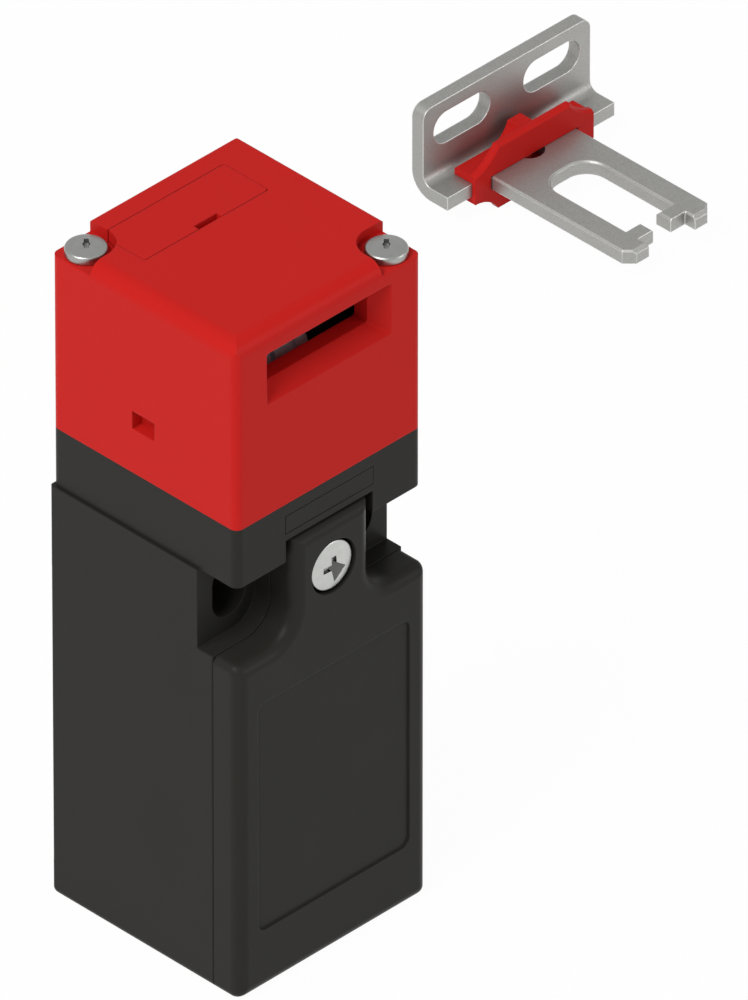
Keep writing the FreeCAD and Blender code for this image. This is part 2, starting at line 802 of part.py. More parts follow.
def make_head_clip():
    """The forked slide that locks the base to the groove of the spigot."""
    body = new_body("head_clip")
    side = size["clip_width"] / 2
    inner = size["groove_radius"] + size["fit_gap"]
    fork = Drawing(body, "Z", body_top + size["clip_rise"]).outline(
        (-side, -head_face), (side, -head_face), (side, size["clip_reach"]),
        (inner, size["clip_reach"]), (inner, 0), (0, -inner, -inner), (-inner, 0, -inner),
        (-inner, size["clip_reach"]), (-side, size["clip_reach"]))
    pad(body, fork, size["clip_thickness"])
    return body


def make_head_seal():
    """The rubber ring around the foot of the spigot."""
    body = new_body("head_seal")
    inner = size["spigot_radius"] + size["fit_gap"]
    ring = Drawing(body, "Z", body_top).circle(0, 0, inner).circle(
        0, 0, inner + size["head_seal_width"])
    pad(body, ring, size["head_seal_depth"])
    return body


def make_head_inserts():
    """The two sleeves in the base that take the head screws."""
    source = make_insert(copy_source("head_inserts"),
                         size["head_screw_radius"] + size["running_gap"],
                         size["head_insert_length"])
    return copies("head_inserts", source, [
        (screw_side * side, screw_face * -side, base_top, None) for side in (-1, 1)])


def make_head_cap():
    """The moulded head: funnel and slot in front, plugged slot on top, two screw shelves."""
    body = new_body("head_cap")
    wall = size["wall"]
    pad(body, draw_head_section(Drawing(body, "Z", base_top)), size["cap_height"])
    for axis, face, side, radius in (("X", head_face, -1, size["cap_round"]),
                                     ("Y", head_side, -1, size["cap_round"]),
                                     ("X", head_face, 1, size["cap_edge"]),
                                     ("Y", head_side, 1, size["cap_edge"])):
        round_off_top(body, axis, face, side, radius)
    boss_side = screw_side - size["shelf_radius"]
    boss_face = screw_face - size["shelf_radius"]
    cavity = Drawing(body, "Z", base_top).outline(
        (-head_side + wall, inner_front), (head_side - wall, inner_front),
        (head_side - wall, head_face - wall), (-boss_side, head_face - wall),
        (-boss_side, boss_face), (-head_side + wall, boss_face))
    pocket(body, cavity, size["cap_height"] - wall, 1)
    front_room = Drawing(body, "Z", base_top).rectangle(
        -head_side + wall, boss_side, -head_face + wall, inner_front + OVERRUN)
    pocket(body, front_room, funnel_low - wall - base_top, 1)
    mouth = Drawing(body, "Y", -head_face)
    draw_slot(mouth, size["funnel_side_flare"], size["funnel_low_flare"],
              size["funnel_high_flare"])
    throat = draw_slot(Drawing(body, "Y", -head_face + size["funnel_depth"]), 0, 0, 0)
    flared_pocket(body, mouth, throat)
    entry = draw_slot(Drawing(body, "Y", -head_face + size["funnel_depth"]), 0, 0, 0)
    pocket(body, entry, wall + OVERRUN, 1)
    top = Drawing(body, "Z", head_top)
    draw_top_slot(top, size["fit_gap"])
    pocket(body, top, wall + OVERRUN)
    for side in (-1, 1):
        shelf = Drawing(body, "Z", head_top)
        draw_screw_shelf(shelf, side)
        pocket(body, shelf, size["shelf_drop"])
        hole = Drawing(body, "Z", head_top).circle(screw_side * side, screw_face * -side, screw_hole)
        pocket(body, hole, size["cap_height"] + OVERRUN)
        window = Drawing(body, "X", head_side * side).rectangle(
            size["window_start"], size["window_end"], base_top + size["window_low"],
            base_top + size["window_low"] + size["window_height"])
        pocket(body, window, size["window_depth"], -side)
    return body


def round_off_top(body, axis, face, side, radius):
    """Round one straight top edge of the cap, which runs along the axis at a side face."""
    above = head_top + OVERRUN
    rim = (face - radius) * side
    outside = (face + OVERRUN) * side
    waste = Drawing(body, axis, -(head_side + head_face)).outline(
        (face * side, head_top - radius), (rim, head_top, radius * side), (rim, above),
        (outside, above), (outside, head_top - radius))
    pocket(body, waste, 2 * (head_side + head_face), 1)


def draw_slot(drawing, side_flare, low_flare, high_flare):
    """The slot for the tongue, widened towards the mouth of its funnel."""
    half = size["slot_width"] / 2 + side_flare
    return drawing.rectangle(-half, half, slot_low - low_flare, slot_high + high_flare,
                             size["funnel_corner"])


def draw_top_slot(drawing, gap):
    """The outline of the top slot, wider by a gap. The screw shelf rounds one corner inwards."""
    half = size["plug_width"] / 2 + gap
    start = size["top_slot_start"] - gap
    end = size["top_slot_start"] + size["top_slot_depth"] + gap
    corner = size["top_slot_corner"]
    radius = size["shelf_radius"] + size["fit_gap"] / 2 - gap
    bite_y = screw_face - other_leg(radius, screw_side - half)
    bite_x = -screw_side + other_leg(radius, screw_face - end)
    drawing.outline(
        (half - corner, start), (half, start + corner, corner), (half, end - corner),
        (half - corner, end, corner), (bite_x, end), (-half, bite_y, -radius),
        (-half, start + corner), (-half + corner, start, corner))


def draw_screw_shelf(drawing, side):
    """The corner step around a head screw, open to both faces and round inside."""
    radius = size["shelf_radius"]
    x, y = screw_side * side, screw_face * -side
    inner_x, outer_x = x - radius * side, (head_side + OVERRUN) * side
    inner_y, outer_y = y + radius * side, (head_face + OVERRUN) * -side
    drawing.outline((outer_x, inner_y), (x, inner_y), (inner_x, y, radius), (inner_x, outer_y),
                    (outer_x, outer_y))


def make_head_screws():
    """The two screws through the corners of the cap."""
    length = (size["cap_height"] - size["shelf_drop"] + size["head_insert_length"]
              - 2 * size["free_gap"])
    source = make_screw(copy_source("head_screws"), size["head_screw_head_radius"],
                        size["head_screw_head_height"], size["head_screw_dome"],
                        size["head_screw_radius"], length)
    return copies("head_screws", source, [
        (screw_side * side, screw_face * -side, head_top - size["shelf_drop"], EIGHTH_TURN)
        for side in (-1, 1)])


def make_slot_plug():
    """The flush plug in the unused slot, with its snap skirt and pry notch."""
    body = new_body("slot_plug")
    start = size["top_slot_start"]
    end = start + size["top_slot_depth"]
    plate = Drawing(body, "Z", head_top)
    draw_top_slot(plate, 0)
    pad(body, plate, size["wall"], -1)
    skirt_end = end - size["free_gap"]
    skirt_half = size["plug_skirt_width"] / 2
    skirt = Drawing(body, "Z", head_top - size["wall"]).rectangle(
        -skirt_half, skirt_half, skirt_end - size["plug_skirt_depth"], skirt_end)
    pad(body, skirt, size["plug_skirt_drop"], -1)
    skirt_wall = size["plug_skirt_wall"]
    hollow = Drawing(body, "Z", head_top - size["wall"] - size["plug_skirt_drop"]).rectangle(
        -skirt_half + skirt_wall, skirt_half - skirt_wall,
        skirt_end - size["plug_skirt_depth"] - OVERRUN, skirt_end - skirt_wall)
    pocket(body, hollow, size["plug_skirt_drop"], 1)
    notch_side = size["pry_notch_offset"]
    notch = Drawing(body, "Z", head_top).rectangle(
        notch_side - size["pry_notch_width"] / 2, notch_side + size["pry_notch_width"] / 2,
        start - OVERRUN, start + size["pry_notch_depth"])
    pocket(body, notch, size["wall"] / 2)
    return body


def polar(radius, angle):
    """A point around the axle, the angle in degrees from upright towards the back."""
    turn = math.radians(angle)
    return Vector(0, radius * math.sin(turn), radius * math.cos(turn))


def cam_radius(turn):
    """The radius of the cam under the axle once the drum has turned by so many degrees."""
    return SIZES["cam_high"] - SIZES["cam_travel"] * turn / SIZES["drum_turn"]


def arc_around(radius, first, last):
    """An arc about the axle between two angles."""
    middle = (first + last) / 2
    return Part.Arc(polar(radius, first), polar(radius, middle), polar(radius, last)).toShape()


def drum_face():
    """The side view of the drum: a round rim for the tongue and a spiral cam beneath it.

    The spiral falls evenly with the angle, which no single arc does, so it is a curve
    through points worked out from the travel of the plunger.
    """
    rim = SIZES["drum_radius"]
    high = SIZES["cam_high"]
    low = high - SIZES["cam_travel"]
    turn = SIZES["drum_turn"]
    spiral_start = 180 - turn
    spiral_angles = [spiral_start + turn * step / SPIRAL_STEPS
                     for step in range(SPIRAL_STEPS + 1)]
    spiral = Part.BSplineCurve()
    spiral.interpolate([polar(cam_radius(180 - angle), angle) for angle in spiral_angles])
    flank = SIZES["rim_flank"]
    rim_end = SIZES["notch_spacing"] - SIZES["notch_angle"] + SIZES["rim_past_notch"]
    dwell_end = 180 + SIZES["cam_dwell"]
    rim_start = dwell_end + flank
    edges = [
        arc_around(rim, rim_start, 360 + rim_end),
        Part.LineSegment(polar(rim, rim_end), polar(low, rim_end + flank)).toShape(),
        arc_around(low, rim_end + flank, spiral_start),
        spiral.toShape(),
        arc_around(high, 180, dwell_end),
        Part.LineSegment(polar(high, dwell_end), polar(rim, rim_start)).toShape(),
    ]
    return Part.Face(Part.Wire(edges))


def drum_notch(angle, low_x, high_x):
    """The cut for one tooth of the tongue: straight flanks, round floor and flared mouth."""
    half = SIZES["notch_width"] / 2
    floor = SIZES["notch_floor"]
    mouth = SIZES["drum_radius"] + OVERRUN
    flare = SIZES["notch_flare"]
    flare_start = SIZES["drum_radius"] - 2 * flare
    length = high_x - low_x
    slit = Part.makeBox(length, 2 * half, mouth - floor - half,
                        Vector(low_x, -half, floor + half))
    bottom = Part.makeCylinder(half, length, Vector(low_x, 0, floor + half), Vector(1, 0, 0))
    wide = half + flare
    corners = [Vector(low_x, -half, flare_start), Vector(low_x, half, flare_start),
               Vector(low_x, wide, mouth), Vector(low_x, -wide, mouth)]
    funnel = Part.Face(Part.makePolygon(corners + corners[:1])).extrude(Vector(length, 0, 0))
    cut = slit.fuse(bottom).fuse(funnel)
    cut.rotate(Vector(0, 0, 0), Vector(1, 0, 0), -angle)
    return cut


def make_cam_drum():
    """The steel drum that the tongue turns: two notched discs, a web and the plunger's cam."""
    half = SIZES["drum_width"] / 2
    web = SIZES["web_width"] / 2
    groove = SIZES["web_groove_width"]
    rim = SIZES["drum_radius"]
    face = drum_face()
    face.translate(Vector(-half, 0, 0))
    solid = face.extrude(Vector(2 * half, 0, 0))
    bore = SIZES["axle_radius"] + SIZES["running_gap"]
    cuts = [Part.makeCylinder(bore, 4 * half, Vector(-2 * half, 0, 0), Vector(1, 0, 0))]
    for side, depth in ((-1, SIZES["left_groove_depth"]), (1, SIZES["right_groove_depth"])):
        start = web if side > 0 else -web - groove
        outer = Part.makeCylinder(rim + OVERRUN, groove, Vector(start, 0, 0), Vector(1, 0, 0))
        inner = Part.makeCylinder(rim - depth, groove, Vector(start, 0, 0), Vector(1, 0, 0))
        cuts.append(outer.cut(inner))
        low_x, high_x = sorted((side * (web + SIZES["fit_gap"]), side * (half + OVERRUN)))
        for angle in (-SIZES["notch_angle"], SIZES["notch_spacing"] - SIZES["notch_angle"]):
            cuts.append(drum_notch(angle, low_x, high_x))
    for cut in cuts:
        before = solid.Volume
        solid = solid.cut(cut)
        if not solid.Volume < before - TOLERANCE:
            raise ValueError("a cut of cam_drum cuts nothing")
    drum = document.addObject("Part::Feature", "cam_drum")
    drum.Label = "cam_drum"
    drum.Shape = solid.removeSplitter()
    return place(drum, 0, 0, axle_z)


def make_drum_axle():
    """The steel pin that carries the drum between the cheeks."""
    body = new_body("drum_axle")
    rod = Drawing(body, "X", -size["axle_length"] / 2).circle(0, axle_z, size["axle_radius"])
    pad(body, rod, size["axle_length"])
    chamfer(body, size["axle_bevel"], lambda edge: lies_at(edge, "X", -size["axle_length"] / 2)
            or lies_at(edge, "X", size["axle_length"] / 2))
    return body


def make_cheek(name, side):
    """A bearing block beside the drum, with the ledge that the tongue slides over."""
    body = new_body(name)
    half = size["cheek_depth"] / 2
    top = head_top - size["wall"] - size["free_gap"]
    wall = Drawing(body, "X", cheek_side * side).rectangle(-half, half, base_top, top)
    pad(body, wall, size["cheek_thickness"], side)
    ledge = Drawing(body, "X", cheek_side * side).rectangle(
        -half, size["ledge_back"], base_top, slot_low - size["ledge_sink"])
    pad(body, ledge, cheek_side - size["ledge_gap"] / 2, -side)
    bore = Drawing(body, "X", size["ledge_gap"] / 2 * side).circle(
        0, axle_z, size["axle_radius"] + size["press_gap"])
    pocket(body, bore, size["axle_length"] / 2 - size["ledge_gap"] / 2 + size["fit_gap"], side)
    low = slot_low - size["ledge_sink"] - size["lead_drop"]
    lead = Drawing(body, "X", size["ledge_gap"] / 2 * side).outline(
        (-half - OVERRUN, low), (-half, low), (-half + size["lead_run"], low + size["lead_drop"]),
        (-half + size["lead_run"], low + size["lead_drop"] + OVERRUN),
        (-half - OVERRUN, low + size["lead_drop"] + OVERRUN))
    pocket(body, lead, cheek_side - size["ledge_gap"] / 2, side)
    return body


def make_plunger():
    """The rod that the cam holds down: round nose, spring collar and flat foot."""
    body = new_body("plunger")
    radius = size["plunger_radius"]
    collar = size["plunger_collar_radius"]
    foot = carrier_low + size["carrier_height"] + size["foot_gap"]
    profile = Drawing(body, "Y").outline(
        (0, foot), (radius, foot), (radius, collar_low), (collar, collar_low),
        (collar, collar_top), (radius, collar_top), (radius, nose_low - radius),
        (0, nose_low, radius))
    turn_about(body, profile)
    return body


def make_spring(name, radius, low, high, turns):
    """A coil spring between two heights, its wire drawn with flat sides to keep it light."""
    body = new_body(name)
    wire = size["spring_wire"] / 2
    slack = size["spring_slack"]
    bottom = low + wire + slack
    corners = [2 * math.pi * number / WIRE_SIDES for number in range(WIRE_SIDES)]
    section = Drawing(body, "Y").outline(*[
        (radius + wire * math.cos(corner), bottom + wire * math.sin(corner))
        for corner in corners])
    coil = body.newObject("PartDesign::AdditiveHelix", "Coil")
    coil.Profile = section.sketch
    axis = [item for item in body.Origin.OriginFeatures if item.Role == "Z_Axis"][0]
    coil.ReferenceAxis = (axis, [""])
    coil.Mode = "height-turns-angle"
    bind(coil, "Height", high - low - 2 * wire - 2 * slack)
    bind(coil, "Turns", turns)
    document.recompute()
    return body


def make_plunger_spring():
    """The spring under the collar that lifts the plunger."""
    return make_spring("plunger_spring", size["plunger_spring_radius"],
                       body_top + size["spring_well_floor"], collar_low,
                       size["plunger_spring_turns"])


def make_plunger_seal():
    """The rubber wiper around the plunger, in the roof of the wiring chamber."""
    body = new_body("plunger_seal")
    ring = Drawing(body, "Z", chamber_top).circle(0, 0, size["seal_recess_radius"])
    ring.circle(0, 0, size["plunger_radius"] + size["free_gap"])
    pad(body, ring, size["seal_recess_depth"])
    return body


def make_contact_block():
    """The insulating block: an open contact chamber above and a terminal face below."""
    body = new_body("contact_block")
    half = size["block_width"] / 2
    back = size["body_back"] - size["wall"] - 2 * size["fit_gap"]
    front = size["block_front"]
    section = Drawing(body, "Y", front).rectangle(-half, half, block_top - size["block_height"],
                                                  block_top)
    pad(body, section, back - front)
    chamber = Drawing(body, "Y", front).rectangle(
        -size["chamber_width"] / 2, size["chamber_width"] / 2, contact_floor, contact_roof)
    pocket(body, chamber, size["chamber_back"] - front, 1)
    passage = Drawing(body, "Z", contact_roof - OVERRUN).circle(
        0, 0, size["plunger_radius"] + 2 * size["free_gap"])
    pocket(body, passage, size["chamber_roof"] + 2 * OVERRUN, 1)
    for spot in terminal_spots():
        hole = Drawing(body, "Y", front).circle(
            spot, terminal_z, size["terminal_screw_radius"] + size["fit_gap"] / 2)
        pocket(body, hole, size["terminal_screw_length"], 1)
    for side in (-1, 1):
        guide_edge = (size["carrier_width"] / 2 + size["free_gap"]) * side
        rib = Drawing(body, "Z", contact_floor).rectangle(
            guide_edge, guide_edge + size["guide_rib_thickness"] * side,
            size["chamber_back"] - size["guide_rib_depth"], size["chamber_back"])
        pad(body, rib, size["chamber_height"])
    return body


def terminal_spots():
    """Where the four terminals stand across the front of the block."""
    return [-size["outer_terminal"], -size["inner_terminal"], size["inner_terminal"],
            size["outer_terminal"]]


def make_contact_carrier():
    """The slide under the plunger that carries both contact bridges in its windows."""
    body = new_body("contact_carrier")
    half = size["carrier_width"] / 2
    depth = size["carrier_depth"] / 2
    section = Drawing(body, "Z", carrier_low).rectangle(-half, half, -depth, depth)
    pad(body, section, size["carrier_height"])
    for bridge in (low_bridge, high_bridge):
        gap = size["fit_gap"]
        window = Drawing(body, "X", -half).rectangle(
            -size["bridge_width"] / 2 - gap, size["bridge_width"] / 2 + gap,
            bridge, bridge + 2 * size["bridge_thickness"])
        pocket(body, window, size["carrier_width"], 1)
    fillet(body, size["carrier_corner"], lambda edge: runs_along(edge, "Z")
           and edge.BoundBox.ZLength > size["carrier_height"].number / 2)
    return body


def make_bridge(body, faces_up):
    """A springy contact strip with a button near each end."""
    length = size["bridge_length"] / 2
    half = size["bridge_width"] / 2
    strip = Drawing(body, "Z").rectangle(-length, length, -half, half, size["bridge_corner"])
    pad(body, strip, size["bridge_thickness"])
    spots = Drawing(body, "Z", size["bridge_thickness"] if faces_up else 0)
    for side in (-1, 1):
        spots.circle(size["button_spacing"] / 2 * side, 0, size["button_radius"])
    pad(body, spots, size["button_height"], 1 if faces_up else -1)
    return body


def make_moving_bridges():
    """Both bridges: the safety one closes upwards, the signal one downwards."""
    parts = []
    for name, height, faces_up in (("safety", high_bridge, True), ("signal", low_bridge, False)):
        source = make_bridge(copy_source(f"{name}_bridge"), faces_up)
        link = document.addObject("App::Link", f"{name}_bridge")
        link.LinkedObject = source
        parts.append(place(link, 0, 0, height))
    group = document.addObject("Part::Compound", "moving_bridges")
    group.Label = "moving_bridges"
    group.Links = parts
    document.recompute()
    return group


def make_contact_spring():
    """The spring under the carrier that lifts it after the plunger."""
    return make_spring("contact_spring", size["contact_spring_radius"], contact_floor,
                       carrier_low, size["contact_spring_turns"])


def make_signal_contacts():
    """The lower fixed contacts: a tab under each end of the signal bridge, bent down in front."""
    touch = low_bridge - size["button_height"] - size["free_gap"]
    thick = size["strip_thickness"]
    front = size["block_front"]
    half = size["terminal_clamp_width"] / 2
    low = terminal_z - half
    back = size["bridge_width"] / 2
    source = copy_source("signal_contacts")
    profile = Drawing(source, "X", -half).outline(
        (front - thick, low), (front, low), (front, touch - thick), (back, touch - thick),
        (back, touch), (front - thick, touch))
    pad(source, profile, 2 * half)
    cut_terminal_hole(source, 0)
    return copies("signal_contacts", source, [
        (size["outer_terminal"] * side, 0, 0, None) for side in (-1, 1)])


def make_safety_contacts():
    """The upper fixed contacts: a tab over each end of the safety bridge, on a strip
    that runs inwards across the front and down to its terminal."""
    touch = (high_bridge + size["bridge_thickness"] + size["button_height"]
             + size["cam_travel"] + size["free_gap"])
    thick = size["strip_thickness"]
    front = size["block_front"]
    half = size["terminal_clamp_width"] / 2
    outer = size["outer_terminal"]
    inner = size["inner_terminal"]
    low = terminal_z - half
    edge = inner + half - size["strip_margin"]
    step = touch - size["strip_cross_drop"]
    parts = []
    for side in (-1, 1):
        source = copy_source(f"safety_contact_{'left' if side < 0 else 'right'}")
        points = [(inner - half, low), (edge, low), (edge, step), (outer + half, step),
                  (outer + half, touch + thick), (inner - half, touch + thick)]
        placed = [(x * side, y) for x, y in points]
        strip = Drawing(source, "Y", front).outline(*placed)
        pad(source, strip, thick, -1)
        tab = Drawing(source, "Z", touch).rectangle(
            (outer - half) * side, (outer + half) * side, front - thick / 2,
            size["bridge_width"] / 2)
        pad(source, tab, thick)
        cut_terminal_hole(source, inner * side)
        link = document.addObject("App::Link", f"safety_contact_{len(parts) + 1}")
        link.LinkedObject = source
        parts.append(place(link))
    group = document.addObject("Part::Compound", "safety_contacts")
    group.Label = "safety_contacts"
    group.Links = parts
    document.recompute()
    return group


def cut_terminal_hole(body, x):
    """The hole in a contact strip for its terminal screw."""
    hole = Drawing(body, "Y", size["block_front"]).circle(
        x, terminal_z, size["terminal_screw_radius"] + size["fit_gap"])
    pocket(body, hole, size["strip_thickness"] + OVERRUN, -1)


def make_terminal_clamps():
    """The square washers that press a wire onto each contact strip."""
    half = size["terminal_clamp_width"] / 2
    source = copy_source("terminal_clamps")
    plate = Drawing(source, "Z").rectangle(-half, half, -half, half,
                                           size["terminal_clamp_corner"])
    plate.circle(0, 0, size["terminal_screw_radius"] + size["fit_gap"])
    pad(source, plate, size["terminal_clamp_thickness"])
    seat = size["block_front"] - size["strip_thickness"]
    return copies("terminal_clamps", source, [
        (spot, seat, terminal_z, TO_FRONT) for spot in terminal_spots()])


def make_terminal_screws():
    """The four screws of the terminals."""
    length = (size["terminal_screw_length"] + size["strip_thickness"]
              + size["terminal_clamp_thickness"] - size["free_gap"])
    source = make_screw(copy_source("terminal_screws"), size["terminal_head_radius"],
                        size["terminal_head_height"], size["terminal_head_dome"],
                        size["terminal_screw_radius"], length)
    seat = size["block_front"] - size["strip_thickness"] - size["terminal_clamp_thickness"]
    return copies("terminal_screws", source, [
        (spot, seat, terminal_z, TO_FRONT) for spot in terminal_spots()])


def place_actuator(body):
    """Stand a piece of the actuator, drawn about its tongue, beside the switch."""
    return place(body, size["actuator_right"], size["actuator_behind"], size["guide_wall_low"])


def make_tongue_bracket():
    """The bent steel actuator: forked tongue, wide flange and slotted plate."""
    body = new_body("tongue_bracket")
    half = size["tongue_width"] / 2
    tip = -size["tongue_length"]
    bevel = size["tongue_chamfer"]
    inner = size["window_width"] / 2
    tooth = inner - size["tooth_depth"]
    tooth_high = -size["tooth_start"]
    tooth_low = tooth_high - size["tooth_length"]
    corner = size["tongue_window_corner"]
    floor = -size["tongue_window_start"]
    side = size["flange_width"] / 2
    bend = size["bend_radius"]
    bend_start = size["plate_front"] - bend
    right = [
        (half, size["flange_front"]), (half, tip + bevel), (half - bevel, tip), (inner, tip),
        (inner, tooth_low), (tooth, tooth_low), (tooth, tooth_high), (inner, tooth_high),
        (inner, floor - corner)]
    left = [(-x, y) for x, y in reversed(right)]
    blank = Drawing(body, "Z").outline(
        (side, bend_start), (side, size["flange_front"]), *right,
        (inner - corner, floor, corner), (-inner + corner, floor),
        (left[0][0], left[0][1], corner), *left[1:],
        (-side, size["flange_front"]), (-side, bend_start))
    pad(body, blank, size["sheet"], -1)
    outer = bend + size["sheet"]
    plate_back = size["plate_front"] + size["sheet"]
    profile = Drawing(body, "X", -side).outline(
        (bend_start, -size["sheet"]), (plate_back, bend, outer),
        (plate_back, size["plate_height"]), (size["plate_front"], size["plate_height"]),
        (size["plate_front"], bend), (bend_start, 0, -bend))
    pad(body, profile, size["flange_width"])
    fillet(body, size["plate_corner"], lambda edge: runs_along(edge, "Y")
           and lies_at(edge, "Z", size["plate_height"]))
    for across in (-size["plate_slot_spacing"] / 2, size["plate_slot_spacing"] / 2):
        slot = Drawing(body, "Y", size["plate_front"]).rectangle(
            across - size["plate_slot_length"] / 2, across + size["plate_slot_length"] / 2,
            size["plate_slot_centre"] - size["plate_slot_height"] / 2,
            size["plate_slot_centre"] + size["plate_slot_height"] / 2,
            (size["plate_slot_height"] - size["slot_end_flat"]) / 2)
        pocket(body, slot, size["sheet"] + OVERRUN, 1)
    hole = Drawing(body, "Z").circle(0, size["tongue_hole_back"], size["tongue_hole_radius"])
    pocket(body, hole, size["sheet"] + OVERRUN)
    chamfer(body, size["tongue_lead"], lambda edge: lies_at(edge, "Z", 0)
            and (lies_at(edge, "Y", tip) or lies_at(edge, "Y", tooth_high)))
    chamfer(body, size["tongue_edge"], lambda edge: lies_at(edge, "Z", 0)
            and not runs_along(edge, "X") and edge.BoundBox.YMin < floor.number
            - 2 * EDGE_TOLERANCE)
    return place_actuator(body)


def draw_guide_wall(drawing, low_reach, high_reach):
    """The front wall of the guide: wings at the ends and a high middle on hollow flanks."""
    wing = size["guide_width"] / 2
    middle = size["guide_wall_width"] / 2
    flank = size["guide_flank_radius"]
    arch = size["guide_arch_radius"]
    top = size["guide_wing_top"]
    low = -size["guide_wing_low"]
    return drawing.outline(
        (-wing, low), (-middle, -low_reach, -arch), (middle, -low_reach), (wing, low, -arch),
        (wing, top), (middle, high_reach, -flank), (-middle, high_reach), (-wing, top, -flank))


def make_tongue_guide():
    """The red guide clipped over the root of the tongue."""
    body = new_body("tongue_guide")
    depth = size["guide_depth"]
    wing = size["guide_width"] / 2
    gap = size["fit_gap"] / 2
    plate = size["guide_plate"]
    block = Drawing(body, "Y").rectangle(-wing, wing, -size["sheet"] - plate, plate)
    pad(body, block, depth)
    wall = draw_guide_wall(Drawing(body, "Y"), size["guide_wall_low"], size["guide_wall_top"])
    pad(body, wall, size["guide_wall"])
    chamfer(body, size["guide_ridge"], lambda edge: lies_at(edge, "Y", 0)
            and edge.BoundBox.ZMin > size["guide_wing_top"].number - EDGE_TOLERANCE)
    top = size["guide_hump_width"] / 2
    base = size["guide_hump_base"] / 2
    radius = size["guide_hump_radius"]
    hump = Drawing(body, "Y").outline(
        (-base, 0), (base, 0), (base, plate), (top, size["guide_hump_top"], -radius),
        (-top, size["guide_hump_top"]), (-base, plate, -radius))
    pad(body, hump, depth)
    foot = Drawing(body, "Y").outline(
        (-base, -size["guide_wing_low"]), (-top, -size["guide_wall_low"], -radius),
        (top, -size["guide_wall_low"]), (base, -size["guide_wing_low"], -radius),
        (base, 0), (-base, 0))
    pad(body, foot, depth)
    throat_half = size["tongue_width"] / 2 + size["guide_side_gap"]
    throat = Drawing(body, "Y").rectangle(-throat_half, throat_half, -size["sheet"] - gap, gap)
    pocket(body, throat, depth, 1)
    groove = Drawing(body, "Y", size["flange_front"] - gap).rectangle(
        -wing - OVERRUN, wing + OVERRUN, -size["sheet"] - gap, gap)
    pocket(body, groove, depth, 1)
    peg = Drawing(body, "Z", -size["sheet"] - 2 * gap).circle(
        0, size["guide_peg_back"], size["guide_peg_radius"])
    pad(body, peg, size["sheet"] + 4 * gap)
    return place_actuator(body)


def check_and_write(subparts):
    """Stop if any feature or shape is faulty, then write one file for each sub-part."""
    for item in document.Objects:
        if "Invalid" in item.State or "Error" in item.State:
            raise ValueError(f"{item.Label} is {item.State}")
    os.makedirs("parts", exist_ok=True)
    for item in subparts:
        shape = item.Shape
        if shape.isNull() or not shape.isValid() or not shape.Solids:
            raise ValueError(f"{item.Label} has no valid solid")
        shape.exportStep(f"parts/{item.Label}.step")
        print(f"{item.Label}: {len(shape.Solids)} solid(s), {shape.Volume:.1f} mm3")


def main():
    """Build every sub-part of the switch and of its actuator."""
    check_and_write([
        make_body_housing(), make_front_cover(), make_cover_gasket(), make_cover_screw(),
        make_cover_insert(), make_head_base(), make_head_clip(), make_head_seal(),
        make_head_inserts(), make_head_cap(), make_head_screws(), make_slot_plug(),
        make_cam_drum(), make_drum_axle(), make_cheek("left_cheek", -1),
        make_cheek("right_cheek", 1), make_plunger(), make_plunger_spring(),
        make_plunger_seal(), make_contact_block(), make_contact_carrier(),
        make_moving_bridges(), make_contact_spring(), make_signal_contacts(),
        make_safety_contacts(), make_terminal_clamps(), make_terminal_screws(),
        make_tongue_bracket(), make_tongue_guide()])


main()
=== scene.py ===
import json
import math

import bmesh
import bpy
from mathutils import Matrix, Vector


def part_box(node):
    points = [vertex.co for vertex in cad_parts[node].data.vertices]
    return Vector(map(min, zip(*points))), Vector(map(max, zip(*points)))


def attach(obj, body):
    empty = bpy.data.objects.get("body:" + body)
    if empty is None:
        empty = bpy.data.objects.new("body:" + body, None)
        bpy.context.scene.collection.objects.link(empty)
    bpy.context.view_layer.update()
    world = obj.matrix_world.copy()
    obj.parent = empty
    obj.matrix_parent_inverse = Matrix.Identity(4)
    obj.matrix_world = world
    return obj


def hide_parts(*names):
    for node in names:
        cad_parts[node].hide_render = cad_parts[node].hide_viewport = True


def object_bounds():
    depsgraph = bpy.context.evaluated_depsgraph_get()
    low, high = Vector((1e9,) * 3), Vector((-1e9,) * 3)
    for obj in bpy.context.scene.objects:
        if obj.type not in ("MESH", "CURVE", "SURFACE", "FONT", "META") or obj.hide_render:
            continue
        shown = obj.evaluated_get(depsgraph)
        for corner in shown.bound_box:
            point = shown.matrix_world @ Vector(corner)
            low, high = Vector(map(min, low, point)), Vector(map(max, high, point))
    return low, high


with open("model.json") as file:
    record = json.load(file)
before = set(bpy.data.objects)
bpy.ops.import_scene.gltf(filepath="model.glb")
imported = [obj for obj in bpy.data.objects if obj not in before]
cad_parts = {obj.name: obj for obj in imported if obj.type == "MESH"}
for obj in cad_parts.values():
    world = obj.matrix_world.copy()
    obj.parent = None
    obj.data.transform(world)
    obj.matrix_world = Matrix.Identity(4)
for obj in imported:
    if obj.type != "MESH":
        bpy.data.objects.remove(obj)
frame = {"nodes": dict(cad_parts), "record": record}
cadBox = [list(corner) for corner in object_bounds()]
nodes = frame["nodes"]
print("frame loaded,", len(nodes), "pieces from the solid model")

mm = 0.001
fullTurn = 2 * math.pi
halfway = 0.5  # a noise runs evenly to both sides of this level


